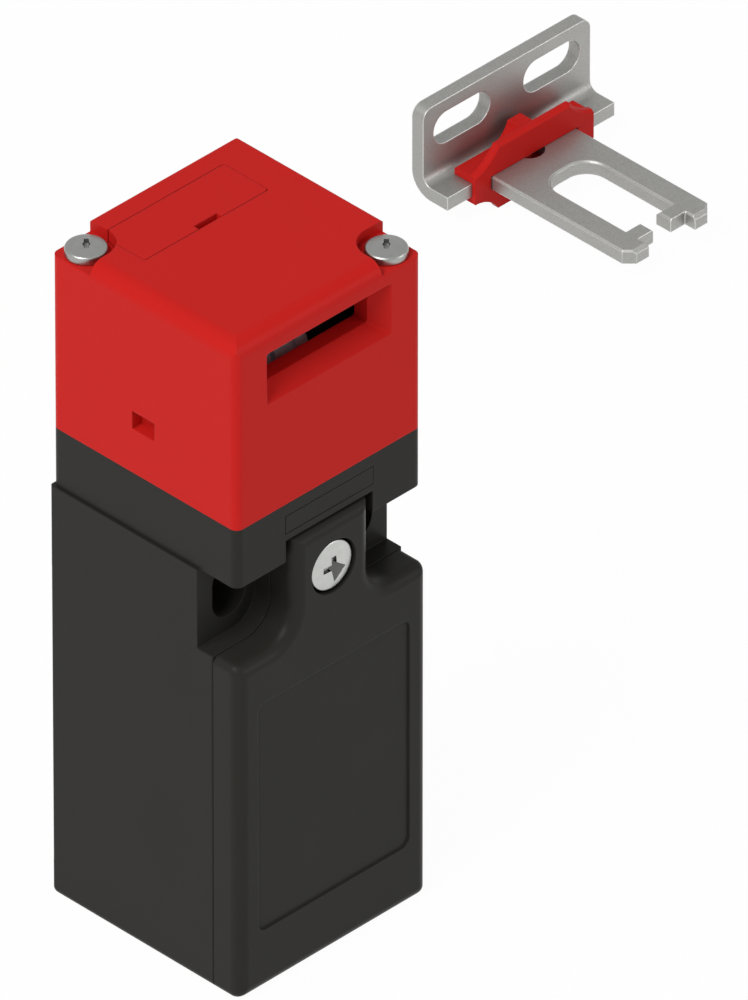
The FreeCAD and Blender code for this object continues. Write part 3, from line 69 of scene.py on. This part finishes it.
# Shader maths reads like arithmetic: one Wire is one socket.
class Wire:
    def __init__(self, finish, socket):
        self.finish = finish
        self.socket = socket

    def combine(self, operation, left, right):
        return self.finish.node("ShaderNodeMath", {"operation": operation}, {0: left, 1: right})

    def __add__(self, other):
        return self.combine("ADD", self, other)

    def __radd__(self, other):
        return self.combine("ADD", other, self)

    def __sub__(self, other):
        return self.combine("SUBTRACT", self, other)

    def __rsub__(self, other):
        return self.combine("SUBTRACT", other, self)

    def __mul__(self, other):
        return self.combine("MULTIPLY", self, other)

    def __rmul__(self, other):
        return self.combine("MULTIPLY", other, self)


# Cosine between the softened and the true normal: no edge mask above flat, full mask below full;
# the mask marks edge wear, and in some finishes a painted highlight.
edgeWearAndHighlight = {"samples": 6, "flat": 0.995, "full": 0.85}


# The nodes of a material or of the world.
class Finish:
    def __init__(self, owner):
        self.owner = owner
        owner.use_nodes = True
        self.tree = owner.node_tree
        self.tree.nodes.clear()

    def node(self, kind, settings=None, inputs=None, output=0):
        made = self.tree.nodes.new(kind)
        for setting, value in (settings or {}).items():
            setattr(made, setting, value)
        for key, value in (inputs or {}).items():
            self.feed(self.pick(made.inputs, key), value)
        return Wire(self, self.pick(made.outputs, output)) if made.outputs else None

    def pick(self, sockets, key):
        if isinstance(key, int):
            return sockets[key]
        return [socket for socket in sockets if key in (socket.identifier, socket.name)][0]

    def feed(self, socket, value):
        if isinstance(value, Wire):
            self.tree.links.new(value.socket, socket)
        else:
            socket.default_value = value

    # scale is in spots per metre
    def noise(self, scale, detail=3, roughness=0.5, stretch=(1, 1, 1)):
        coords = self.node("ShaderNodeTexCoord", output="Object")
        spot = self.node("ShaderNodeVectorMath", {"operation": "MULTIPLY"},
                         {0: coords, 1: stretch})
        return self.node("ShaderNodeTexNoise", None, {
            "Vector": spot, "Scale": scale, "Detail": detail, "Roughness": roughness}, "Fac")

    def blend(self, mask, first, second):
        return self.node("ShaderNodeMix", {"data_type": "RGBA"}, {
            "Factor_Float": mask, "A_Color": colour(first), "B_Color": colour(second)},
            "Result_Color")

    # the normal with softened edges, and a mask that is 1 on them
    def edge(self, radius):
        soft = self.node("ShaderNodeBevel", {"samples": edgeWearAndHighlight["samples"]}, {"Radius": radius})
        flat = self.node("ShaderNodeNewGeometry", output="Normal")
        agree = self.node("ShaderNodeVectorMath", {"operation": "DOT_PRODUCT"},
                          {0: soft, 1: flat}, "Value")
        mask = self.node("ShaderNodeMapRange", None, {
            "Value": agree, "From Min": edgeWearAndHighlight["flat"], "From Max": edgeWearAndHighlight["full"],
            "To Min": 0, "To Max": 1})
        return soft, mask

    def bump(self, height, strength, distance, normal):
        return self.node("ShaderNodeBump", None, {
            "Height": height, "Strength": strength, "Distance": distance, "Normal": normal})

    def surface(self, **inputs):
        named = {key.replace("_", " "): value for key, value in inputs.items()}
        shader = self.node("ShaderNodeBsdfPrincipled", None, named)
        self.node("ShaderNodeOutputMaterial", None, {"Surface": shader})
        return self.owner


def newFinish(name):
    return Finish(bpy.data.materials.new(name))


# A socket takes four numbers; a link passes as it is.
def colour(tone):
    return tone if isinstance(tone, Wire) else (*tone, 1)


def darker(tone, shade):
    return [level * shade for level in tone]


# In every finish: uneven is how much the roughness wanders, rubbed how much an edge loses of it,
# relief how strongly the grain stands out, and the edge share how far an edge takes the lighter
# edge colour, a painted highlight.
redMoulding = {
    "base": (0.570, 0.0165, 0.0135), "cloudy": (0.545, 0.0150, 0.0125),
    # edge is a lighter red: a painted highlight along the rounded edges
    "edge": (0.640, 0.030, 0.026), "edgeRadius": 0.16 * mm, "edgeHighlightShare": 0.35,
    "cloudScale": 90, "grainSize": 0.20 * mm, "grainDepth": 0.008 * mm, "relief": 0.35,
    "roughness": 0.34, "uneven": 0.10, "rubbed": 0.04, "gloss": 0.05}


def redPlastic():
    look = redMoulding
    finish = newFinish("red moulded plastic")
    clouds = finish.noise(look["cloudScale"], detail=3)
    grain = finish.noise(1 / look["grainSize"], detail=2)
    normal, edgeMask = finish.edge(look["edgeRadius"])
    tone = finish.blend(clouds, look["base"], look["cloudy"])
    wander = (clouds - halfway) * look["uneven"]
    # Towards the edges the colour blends into the lighter edge red: a painted highlight.
    return finish.surface(
        Base_Color=finish.blend(edgeMask * look["edgeHighlightShare"], tone, look["edge"]),
        Roughness=look["roughness"] + wander - edgeMask * look["rubbed"],
        Specular_IOR_Level=look["gloss"],
        Normal=finish.bump(grain, look["relief"], look["grainDepth"], normal))


blackMoulding = {
    "base": (0.0250, 0.0242, 0.0212), "cloudy": (0.0222, 0.0215, 0.0192),
    # edge is a lighter grey: a painted highlight along the edges
    "edge": (0.044, 0.043, 0.040), "edgeRadius": 0.18 * mm, "edgeHighlightShare": 0.4,
    "cloudScale": 70, "grainSize": 0.28 * mm, "grainDepth": 0.018 * mm,
    "bodyRelief": 0.35, "slideRelief": 0.14,
    "roughness": 0.38, "uneven": 0.12, "gloss": 0.08}


def blackPlastic(name, relief):
    look = blackMoulding
    finish = newFinish(name)
    clouds = finish.noise(look["cloudScale"], detail=4)
    grain = finish.noise(1 / look["grainSize"], detail=3, roughness=0.6)
    normal, edgeMask = finish.edge(look["edgeRadius"])
    tone = finish.blend(clouds, look["base"], look["cloudy"])
    # Towards the edges the colour blends into the lighter edge grey: a painted highlight.
    return finish.surface(
        Base_Color=finish.blend(edgeMask * look["edgeHighlightShare"], tone, look["edge"]),
        Roughness=look["roughness"] + (clouds - halfway) * look["uneven"],
        Specular_IOR_Level=look["gloss"],
        Normal=finish.bump(grain, relief, look["grainDepth"], normal))


steelSheet = {
    # bright is the near-white colour of the edges: partly edge wear, partly a painted highlight
    "base": (0.465, 0.463, 0.445), "dull": (0.345, 0.342, 0.328), "bright": (0.98, 0.98, 0.96),
    "edgeRadius": 0.20 * mm, "edgeHighlightShare": 0.85, "cloudScale": 420, "cloudShare": 0.4,
    "grainSize": 0.16 * mm, "grainShare": 2.4, "dullShare": 0.3, "grainDepth": 0.010 * mm,
    "relief": 0.4, "metal": 0.80, "roughness": 0.46, "uneven": 0.16, "rubbed": 0.10}


def satinSteel():
    look = steelSheet
    finish = newFinish("satin sheet steel")
    clouds = finish.noise(look["cloudScale"], detail=4, roughness=0.6)
    grain = finish.noise(1 / look["grainSize"], detail=3, roughness=0.6)
    normal, edgeMask = finish.edge(look["edgeRadius"])
    speckle = clouds * look["cloudShare"] + (grain - halfway) * look["grainShare"]
    tone = finish.blend(speckle + look["dullShare"], look["base"], look["dull"])
    wander = (grain - halfway) * look["uneven"]
    # Towards the edges the colour blends into near white: edge wear and a painted highlight.
    return finish.surface(
        Base_Color=finish.blend(edgeMask * look["edgeHighlightShare"], tone, look["bright"]),
        Metallic=look["metal"],
        Roughness=look["roughness"] + wander - edgeMask * look["rubbed"],
        Normal=finish.bump(grain, look["relief"], look["grainDepth"], normal))


zincPlate = {
    "base": (0.62, 0.625, 0.60), "dull": (0.47, 0.48, 0.46), "edgeRadius": 0.10 * mm,
    "cloudScale": 900, "grainScale": 7000, "grainDepth": 0.006 * mm, "relief": 0.25,
    "ringScale": 1250, "ringDepth": 0.006 * mm,
    "roughness": 0.34, "uneven": 0.14, "rubbed": 0.06}


# rings is how strongly the turned rings about the piece's own axis show
def platedSteel(name, shade=1.0, rings=0.0):
    look = zincPlate
    finish = newFinish(name)
    clouds = finish.noise(look["cloudScale"], detail=4, roughness=0.6)
    grain = finish.noise(look["grainScale"], detail=2)
    normal, edgeMask = finish.edge(look["edgeRadius"])
    if rings:
        coords = finish.node("ShaderNodeTexCoord", output="Object")
        turned = finish.node("ShaderNodeTexWave", {"wave_type": "RINGS", "rings_direction": "Z"},
                             {"Vector": coords, "Scale": look["ringScale"]}, "Fac")
        normal = finish.bump(turned, rings, look["ringDepth"], normal)
    base, dull = darker(look["base"], shade), darker(look["dull"], shade)
    wander = (clouds - halfway) * look["uneven"]
    return finish.surface(
        Base_Color=finish.blend(clouds, base, dull), Metallic=1.0,
        Roughness=look["roughness"] + wander - edgeMask * look["rubbed"],
        Normal=finish.bump(grain, look["relief"], look["grainDepth"], normal))


turnedSteel = {
    "base": (0.50, 0.51, 0.52), "dull": (0.34, 0.35, 0.36), "edgeRadius": 0.12 * mm,
    "lineScale": 1500, "lineStretch": (0.2, 1, 1), "lineDepth": 0.010 * mm, "relief": 0.3,
    "roughness": 0.32, "uneven": 0.2, "rubbed": 0.05}


def groundSteel(name):
    look = turnedSteel
    finish = newFinish(name)
    lines = finish.noise(look["lineScale"], detail=4, roughness=0.6, stretch=look["lineStretch"])
    normal, edgeMask = finish.edge(look["edgeRadius"])
    return finish.surface(
        Base_Color=finish.blend(lines, look["base"], look["dull"]), Metallic=1.0,
        Roughness=look["roughness"] + lines * look["uneven"] - edgeMask * look["rubbed"],
        Normal=finish.bump(lines, look["relief"], look["lineDepth"], normal))


# base and dull are paler and bluer than zinc, and metal is low: painted light for the drum deep in
# the slot, where little lamp light reaches and the red walls tint what does.
drumWithPaintedLight = {
    "base": (0.80, 0.90, 0.97), "dull": (0.66, 0.75, 0.82), "edgeRadius": 0.10 * mm,
    "cloudScale": 900, "castDepth": 0.010 * mm, "relief": 0.3, "metal": 0.10,
    "roughness": 0.42, "uneven": 0.2, "rubbed": 0.05}


def castZincWithPaintedLight():
    look = drumWithPaintedLight
    finish = newFinish("cast zinc with painted light")
    clouds = finish.noise(look["cloudScale"], detail=4, roughness=0.6)
    normal, edgeMask = finish.edge(look["edgeRadius"])
    wander = (clouds - halfway) * look["uneven"]
    return finish.surface(
        Base_Color=finish.blend(clouds, look["base"], look["dull"]), Metallic=look["metal"],
        Roughness=look["roughness"] + wander - edgeMask * look["rubbed"],
        Normal=finish.bump(clouds, look["relief"], look["castDepth"], normal))


plainBrass = {
    "base": (0.72, 0.50, 0.22), "dull": (0.52, 0.34, 0.15), "edgeRadius": 0.10 * mm,
    "cloudScale": 700, "cloudDepth": 0.01 * mm, "relief": 0.2,
    "roughness": 0.30, "uneven": 0.15, "rubbed": 0.05}


def brass():
    look = plainBrass
    finish = newFinish("plain brass")
    clouds = finish.noise(look["cloudScale"], detail=4, roughness=0.6)
    normal, edgeMask = finish.edge(look["edgeRadius"])
    return finish.surface(
        Base_Color=finish.blend(clouds, look["base"], look["dull"]), Metallic=1.0,
        Roughness=look["roughness"] + clouds * look["uneven"] - edgeMask * look["rubbed"],
        Normal=finish.bump(clouds, look["relief"], look["cloudDepth"], normal))


softRubber = {
    "base": (0.018, 0.018, 0.019), "dusty": (0.035, 0.034, 0.033), "edgeRadius": 0.10 * mm,
    "cloudScale": 300, "grainScale": 3500, "grainDepth": 0.02 * mm, "relief": 0.3,
    "roughness": 0.72, "uneven": 0.1, "rubbed": 0.1, "gloss": 0.3}


def sealRubber():
    look = softRubber
    finish = newFinish("seal rubber")
    clouds = finish.noise(look["cloudScale"], detail=4)
    grain = finish.noise(look["grainScale"], detail=2)
    normal, edgeMask = finish.edge(look["edgeRadius"])
    wander = (clouds - halfway) * look["uneven"]
    return finish.surface(
        Base_Color=finish.blend(clouds, look["base"], look["dusty"]),
        Roughness=look["roughness"] + wander - edgeMask * look["rubbed"],
        Specular_IOR_Level=look["gloss"],
        Normal=finish.bump(grain, look["relief"], look["grainDepth"], normal))


paleMoulding = {
    "base": (0.56, 0.53, 0.46), "cloudy": (0.49, 0.46, 0.40), "edgeRadius": 0.15 * mm,
    "cloudScale": 120, "grainScale": 3200, "grainDepth": 0.015 * mm, "relief": 0.3,
    "roughness": 0.55, "uneven": 0.1, "rubbed": 0.05, "gloss": 0.35}


def palePlastic():
    look = paleMoulding
    finish = newFinish("pale insulating plastic")
    clouds = finish.noise(look["cloudScale"], detail=4)
    grain = finish.noise(look["grainScale"], detail=2)
    normal, edgeMask = finish.edge(look["edgeRadius"])
    wander = (clouds - halfway) * look["uneven"]
    return finish.surface(
        Base_Color=finish.blend(clouds, look["base"], look["cloudy"]),
        Roughness=look["roughness"] + wander - edgeMask * look["rubbed"],
        Specular_IOR_Level=look["gloss"],
        Normal=finish.bump(grain, look["relief"], look["grainDepth"], normal))


# One finish for each material slot of the solid model.
finishes = {
    "red_plastic": redPlastic(),
    "black_body": blackPlastic("black moulded plastic", blackMoulding["bodyRelief"]),
    "black_inner": blackPlastic("black slide plastic", blackMoulding["slideRelief"]),
    "sheet_steel": satinSteel(),
    "zinc_steel": platedSteel("plated steel"),
    "ground_steel": groundSteel("turned steel"),
    "spring_steel": groundSteel("spring wire"),
    "contact_brass": brass(),
    "seal_rubber": sealRubber(),
    "pale_block": palePlastic()}
print("finishes made:", len(finishes))

for row in frame["record"]["subparts"]:
    piece = nodes[row["node"]]
    piece.data.materials.clear()
    piece.data.materials.append(finishes[row["material_slot"]])
# The drum gets its own zinc finish, whose paler, bluer colour is painted light inside the slot.
nodes["cam_drum"].data.materials[0] = castZincWithPaintedLight()
print("solids dressed")


def joinRings(form, rings, steps):
    for below, above in zip(rings, rings[1:]):
        for step in range(steps):
            after = (step + 1) % steps
            if len(below) == 1:
                form.faces.new((below[0], above[after], above[step]))
            elif len(above) == 1:
                form.faces.new((below[step], below[after], above[0]))
            else:
                form.faces.new((below[step], below[after], above[after], above[step]))


# A form turned about its upright axis, from its centre below to its centre above.
def lathe(form, profile, steps):
    rings = []
    for radius, height in profile:
        count = steps if radius > 0 else 1
        rings.append([form.verts.new((radius * math.cos(fullTurn * step / steps),
                                      radius * math.sin(fullTurn * step / steps), height))
                      for step in range(count)])
    joinRings(form, rings, steps)


# A helical thread on a shank, running out flat at both ends.
def thread(form, radius, depth, pitch, low, high, steps=28, rowsPerTurn=8):
    rows = round((high - low) / pitch * rowsPerTurn)
    rings = [[form.verts.new((0, 0, low))]]
    for row in range(rows + 1):
        height = low + (high - low) * row / rows
        fade = min(1, (height - low) / pitch, (high - height) / pitch)
        ring = []
        for step in range(steps):
            wave = (height / pitch - step / steps) % 1
            reach = radius - depth * fade * abs(2 * wave - 1)
            turn = fullTurn * step / steps
            ring.append(form.verts.new((reach * math.cos(turn), reach * math.sin(turn), height)))
        rings.append(ring)
    rings.append([form.verts.new((0, 0, high))])
    joinRings(form, rings, steps)


# A tapered plug with any outline, used as the tool that cuts a recess.
# Each corner has its own floor, and narrow is the share of the outline left down there.
def taperedPlug(form, outline, floors, top, narrow):
    low = [form.verts.new((x * narrow, y * narrow, floor))
           for (x, y), floor in zip(outline, floors)]
    high = [form.verts.new((x, y, top)) for x, y in outline]
    form.faces.new(list(reversed(low)))
    form.faces.new(high)
    for number in range(len(outline)):
        after = (number + 1) % len(outline)
        form.faces.new((low[number], low[after], high[after], high[number]))


# arms reach right, up, left and down from the middle
def crossOutline(arms, half, turn):
    right, up, left, down = arms
    square = [(right, -half), (right, half), (half, half), (half, up), (-half, up), (-half, half),
              (-left, half), (-left, -half), (-half, -half), (-half, -down), (half, -down),
              (half, -half)]
    return [(x * math.cos(turn) - y * math.sin(turn), x * math.sin(turn) + y * math.cos(turn))
            for x, y in square]


def meshOf(form, name):
    bmesh.ops.recalc_face_normals(form, faces=form.faces)
    mesh = bpy.data.meshes.new(name)
    form.to_mesh(mesh)
    form.free()
    return mesh


# Puts a mesh, a lamp or a camera into the scene.
def place(data, name):
    item = bpy.data.objects.new(name, data)
    bpy.context.scene.collection.objects.link(item)
    return item


# The first mesh with every tool cut out of it, through Blender's own boolean.
def carve(mesh, tools, name):
    blank = place(mesh, name + "Blank")
    helpers = [place(tool, name + "Tool") for tool in tools]
    for helper in helpers:
        cut = blank.modifiers.new("recess", "BOOLEAN")
        cut.operation = "DIFFERENCE"
        cut.solver = "EXACT"
        cut.object = helper
    seen = bpy.context.evaluated_depsgraph_get()
    carved = bpy.data.meshes.new_from_object(blank.evaluated_get(seen))
    for helper in helpers + [blank]:
        bpy.data.objects.remove(helper)
    return carved


# Smooth all over, but sharp where two faces meet at more than this angle.
def creaseByAngle(form, degrees):
    for face in form.faces:
        face.smooth = True
    for edge in form.edges:
        if len(edge.link_faces) == 2:
            edge.smooth = edge.calc_face_angle() < math.radians(degrees)


# What all three screws share.
screwShape = {
    "shoulderSteps": 6, "domeSteps": 8, "shank": 1.45 * mm, "threadDepth": 0.25 * mm,
    "pitch": 0.7 * mm, "threadInHead": 0.1 * mm, "toolAbove": 1 * mm, "crease": 34,
    "bevelSteps": 2, "bevelAngle": 40}


# Radius and height along the head, from the middle of its seat round the rim to its crown.
def headProfile(look):
    radius, shoulder, dome = look["radius"], look["shoulder"], look["dome"]
    rim = look["height"] - dome
    crown = radius - shoulder
    ball = (crown ** 2 + dome ** 2) / (2 * dome)
    under = look["underBevel"]
    profile = [(0, 0), (radius - under, 0), (radius, under), (radius, rim - shoulder)]
    steps = screwShape["shoulderSteps"]
    for step in range(1, steps + 1):
        turn = fullTurn / 4 * step / steps
        profile.append((crown + shoulder * math.cos(turn),
                        rim - shoulder + shoulder * math.sin(turn)))
    base = math.sqrt(ball ** 2 - crown ** 2)
    steps = screwShape["domeSteps"]
    for step in range(1, steps + 1):
        reach = crown * (1 - step / steps)
        profile.append((reach, rim + math.sqrt(ball ** 2 - reach ** 2) - base))
    return profile


# The faces inside the recess of a head take the second finish, a darker copy of the plating:
# painted shade in the recess.
def paintRecessShade(form, look):
    crown = look["radius"] - look["shoulder"]
    rim = look["height"] - look["dome"]
    for face in form.faces:
        spot = face.calc_center_median()
        inside = math.hypot(spot.x, spot.y) < crown and spot.z < rim + look["lip"]
        steep = face.normal.z < look["steep"]
        face.material_index = int(inside and spot.z > 0 and (steep or spot.z < rim - look["lip"]))


# A whole screw, standing head up with its seat at the origin.
def screwMesh(look, length, name, extraTools=()):
    head = bmesh.new()
    lathe(head, headProfile(look), look["steps"])
    tool = bmesh.new()
    outline = crossOutline(look["arms"], look["armHalf"], look["turn"])
    floor = look["height"] - look["recess"]
    top = look["height"] + screwShape["toolAbove"]
    taperedPlug(tool, outline, [floor] * len(outline), top, look["narrow"])
    tools = [meshOf(tool, name + "Recess")] + list(extraTools)
    carved = carve(meshOf(head, name + "Head"), tools, name)
    whole = bmesh.new()
    whole.from_mesh(carved)
    paintRecessShade(whole, look)
    thread(whole, screwShape["shank"], screwShape["threadDepth"], screwShape["pitch"],
           -length, screwShape["threadInHead"])
    creaseByAngle(whole, screwShape["crease"])
    mesh = bpy.data.meshes.new(name)
    whole.to_mesh(mesh)
    whole.free()
    return mesh


def softenEdges(piece, width):
    bevel = piece.modifiers.new("softEdges", "BEVEL")
    bevel.width = width
    bevel.segments = screwShape["bevelSteps"]
    bevel.limit_method = "ANGLE"
    bevel.angle_limit = math.radians(screwShape["bevelAngle"])
    bevel.harden_normals = True


# Its cross is worn out towards one side: fan is the outline of that ramp, with a floor per corner.
coverScrew = {
    "radius": 3.2 * mm, "height": 2.0 * mm, "dome": 0.35 * mm, "shoulder": 0.25 * mm,
    "underBevel": 0.15 * mm, "steps": 96, "length": 7.1 * mm, "softWidth": 0.05 * mm,
    "arms": (0.6 * mm, 1.55 * mm, 1.85 * mm, 0.6 * mm), "armHalf": 0.44 * mm, "turn": 0.0,
    "recess": 0.62 * mm, "narrow": 0.8, "lip": 0.3 * mm, "steep": 0.93,
    "fan": [(-0.42 * mm, 0.42 * mm), (-0.42 * mm, -0.42 * mm), (0.17 * mm, -2.2 * mm),
            (1.9 * mm, -0.74 * mm), (0.42 * mm, 0.42 * mm)],
    "fanFloors": [0.85 * mm, 0.85 * mm, 1.80 * mm, 1.80 * mm, 0.85 * mm],
    # recessShade darkens the recess finish: painted shade in the recess
    "shade": 1.0, "rings": 0.6, "recessShade": 0.24}


def makeCoverScrew():
    look = coverScrew
    ramp = bmesh.new()
    top = look["height"] + screwShape["toolAbove"]
    taperedPlug(ramp, look["fan"], look["fanFloors"], top, narrow=1.0)
    mesh = screwMesh(look, look["length"], "coverScrew", [meshOf(ramp, "coverScrewRamp")])
    piece = place(mesh, "cover_screw_detailed")
    low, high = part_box("cover_screw")
    piece.rotation_euler = (math.radians(90), 0, 0)
    piece.location = ((low[0] + high[0]) / 2, low[1] + look["height"], (low[2] + high[2]) / 2)
    softenEdges(piece, look["softWidth"])
    mesh.materials.append(platedSteel("bright plated screw", look["shade"], look["rings"]))
    # The second finish is a darker copy of the plating: painted shade in the recess.
    mesh.materials.append(platedSteel("recess painted shade", look["recessShade"]))
    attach(piece, "cover")
    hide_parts("cover_screw")


headScrew = {
    "radius": 2.5 * mm, "height": 1.35 * mm, "dome": 0.25 * mm, "shoulder": 0.38 * mm,
    "underBevel": 0.12 * mm, "steps": 72, "softWidth": 0.04 * mm,
    "arms": (1.4 * mm, 0.5 * mm, 0.95 * mm, 0.5 * mm), "armHalf": 0.35 * mm,
    "turn": fullTurn / 8, "recess": 0.7 * mm, "narrow": 0.72, "lip": 0.2 * mm, "steep": 0.93,
    # recessShade darkens the recess finish: painted shade in the recess
    "shade": 0.72, "rings": 0.4, "recessShade": 0.6}


def makeHeadScrews():
    look = headScrew
    low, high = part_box("head_screws")
    seat = high[2] - look["height"]
    mesh = screwMesh(look, seat - low[2], "headScrew")
    mesh.materials.append(platedSteel("dull plated screw", look["shade"], look["rings"]))
    # The second finish is a darker copy of the plating: painted shade in the recess.
    mesh.materials.append(platedSteel("head recess painted shade", look["recessShade"]))
    for side, x, y in (("left", low[0] + look["radius"], high[1] - look["radius"]),
                       ("right", high[0] - look["radius"], low[1] + look["radius"])):
        piece = place(mesh, "head_screw_" + side)
        piece.location = (x, y, seat)
        softenEdges(piece, look["softWidth"])
        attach(piece, "switch")
        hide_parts("head_screws")


makeCoverScrew()
makeHeadScrews()
print("screws cut")


# glow is how white the floor looks by itself, and skyShine how much of a white sky metal mirrors.
studio = {
    "floorHalf": 12.0, "floorGap": 0.02 * mm, "floorTone": (0.92, 0.92, 0.92),
    "floorRoughness": 0.9, "floorGloss": 0.1, "glow": 0.97, "ambient": 0.34, "skyShine": 0.5,
    "keyPower": 20.0, "keySize": 0.9, "keyPlace": (-1.05, -0.08, 1.33),
    "fillPower": 3.6, "fillSize": 0.65, "fillPlace": (0.72, -1.15, 0.52),
    "target": (0.03, 0, 0.045)}
white = (1, 1, 1)


# 1 for the rays that meet a surface straight from the camera, in a mirror or through glass
def rayKinds(finish):
    return [finish.node("ShaderNodeLightPath", output=kind)
            for kind in ("Is Camera Ray", "Is Glossy Ray", "Is Transmission Ray")]


def makeFloor():
    look = studio
    half = look["floorHalf"]
    mesh = bpy.data.meshes.new("floor")
    mesh.from_pydata([(-half, -half, 0), (half, -half, 0), (half, half, 0), (-half, half, 0)], [],
                     [(0, 1, 2, 3)])
    floor = place(mesh, "floor")
    floor.location.z = cadBox[0][2] - look["floorGap"]
    finish = newFinish("pale floor")
    seen, mirrored, through = rayKinds(finish)
    lit = finish.node("ShaderNodeBsdfPrincipled", None, {
        "Base Color": colour(look["floorTone"]), "Roughness": look["floorRoughness"],
        "Specular IOR Level": look["floorGloss"]})
    glow = finish.node("ShaderNodeEmission", None, {"Color": colour(white), "Strength": 1.0})
    share = (seen + mirrored + through) * look["glow"]
    mixed = finish.node("ShaderNodeMixShader", None, {0: share, 1: lit, 2: glow})
    finish.node("ShaderNodeOutputMaterial", None, {"Surface": mixed})
    mesh.materials.append(finish.owner)


def makeWorld():
    world = Finish(bpy.data.worlds.new("studio"))
    seen, mirrored, through = rayKinds(world)
    ambient = world.node("ShaderNodeBackground", None, {
        "Color": colour(white), "Strength": studio["ambient"]})
    backdrop = world.node("ShaderNodeBackground", None, {"Color": colour(white), "Strength": 1.0})
    mixed = world.node("ShaderNodeMixShader", None, {
        0: seen + through + mirrored * studio["skyShine"], 1: ambient, 2: backdrop})
    world.node("ShaderNodeOutputWorld", None, {"Surface": mixed})
    bpy.context.scene.world = world.owner


def aim(item, spot, target):
    item.location = spot
    item.rotation_mode = "QUATERNION"
    item.rotation_quaternion = (Vector(target) - Vector(spot)).to_track_quat("-Z", "Y")


def makeLamp(name):
    light = bpy.data.lights.new(name, "AREA")
    light.energy = studio[name + "Power"]
    light.size = studio[name + "Size"]
    aim(place(light, name), studio[name + "Place"], studio["target"])


makeFloor()
makeWorld()
makeLamp("key")
makeLamp("fill")
print("studio lit")


# A long lens from far away, for the photo's isometric view.
shot = {
    "azimuth": -45.0, "elevation": 35.43, "lens": 1250.0, "sensor": 36.0,
    "middle": (19.8 * mm, -1.9 * mm, 45.3 * mm), "pixelsPerMm": 8.89, "pixelsHigh": 1000,
    "clipNear": 0.01, "clipFar": 20}


def makeCamera():
    look = shot
    turn = math.radians(look["azimuth"])
    rise = math.radians(look["elevation"])
    back = Vector((math.sin(turn) * math.cos(rise), -math.cos(turn) * math.cos(rise),
                   math.sin(rise)))
    height = look["pixelsHigh"] / look["pixelsPerMm"] * mm
    distance = height * look["lens"] / look["sensor"]
    camera = bpy.data.cameras.new("camera")
    camera.lens = look["lens"]
    camera.sensor_width = look["sensor"]
    camera.clip_start = look["clipNear"]
    camera.clip_end = look["clipFar"]
    view = place(camera, "camera")
    middle = Vector(look["middle"])
    aim(view, middle + back * distance, middle)
    bpy.context.scene.camera = view


makeCamera()
bpy.context.scene.view_settings.view_transform = "Standard"
print("camera set")
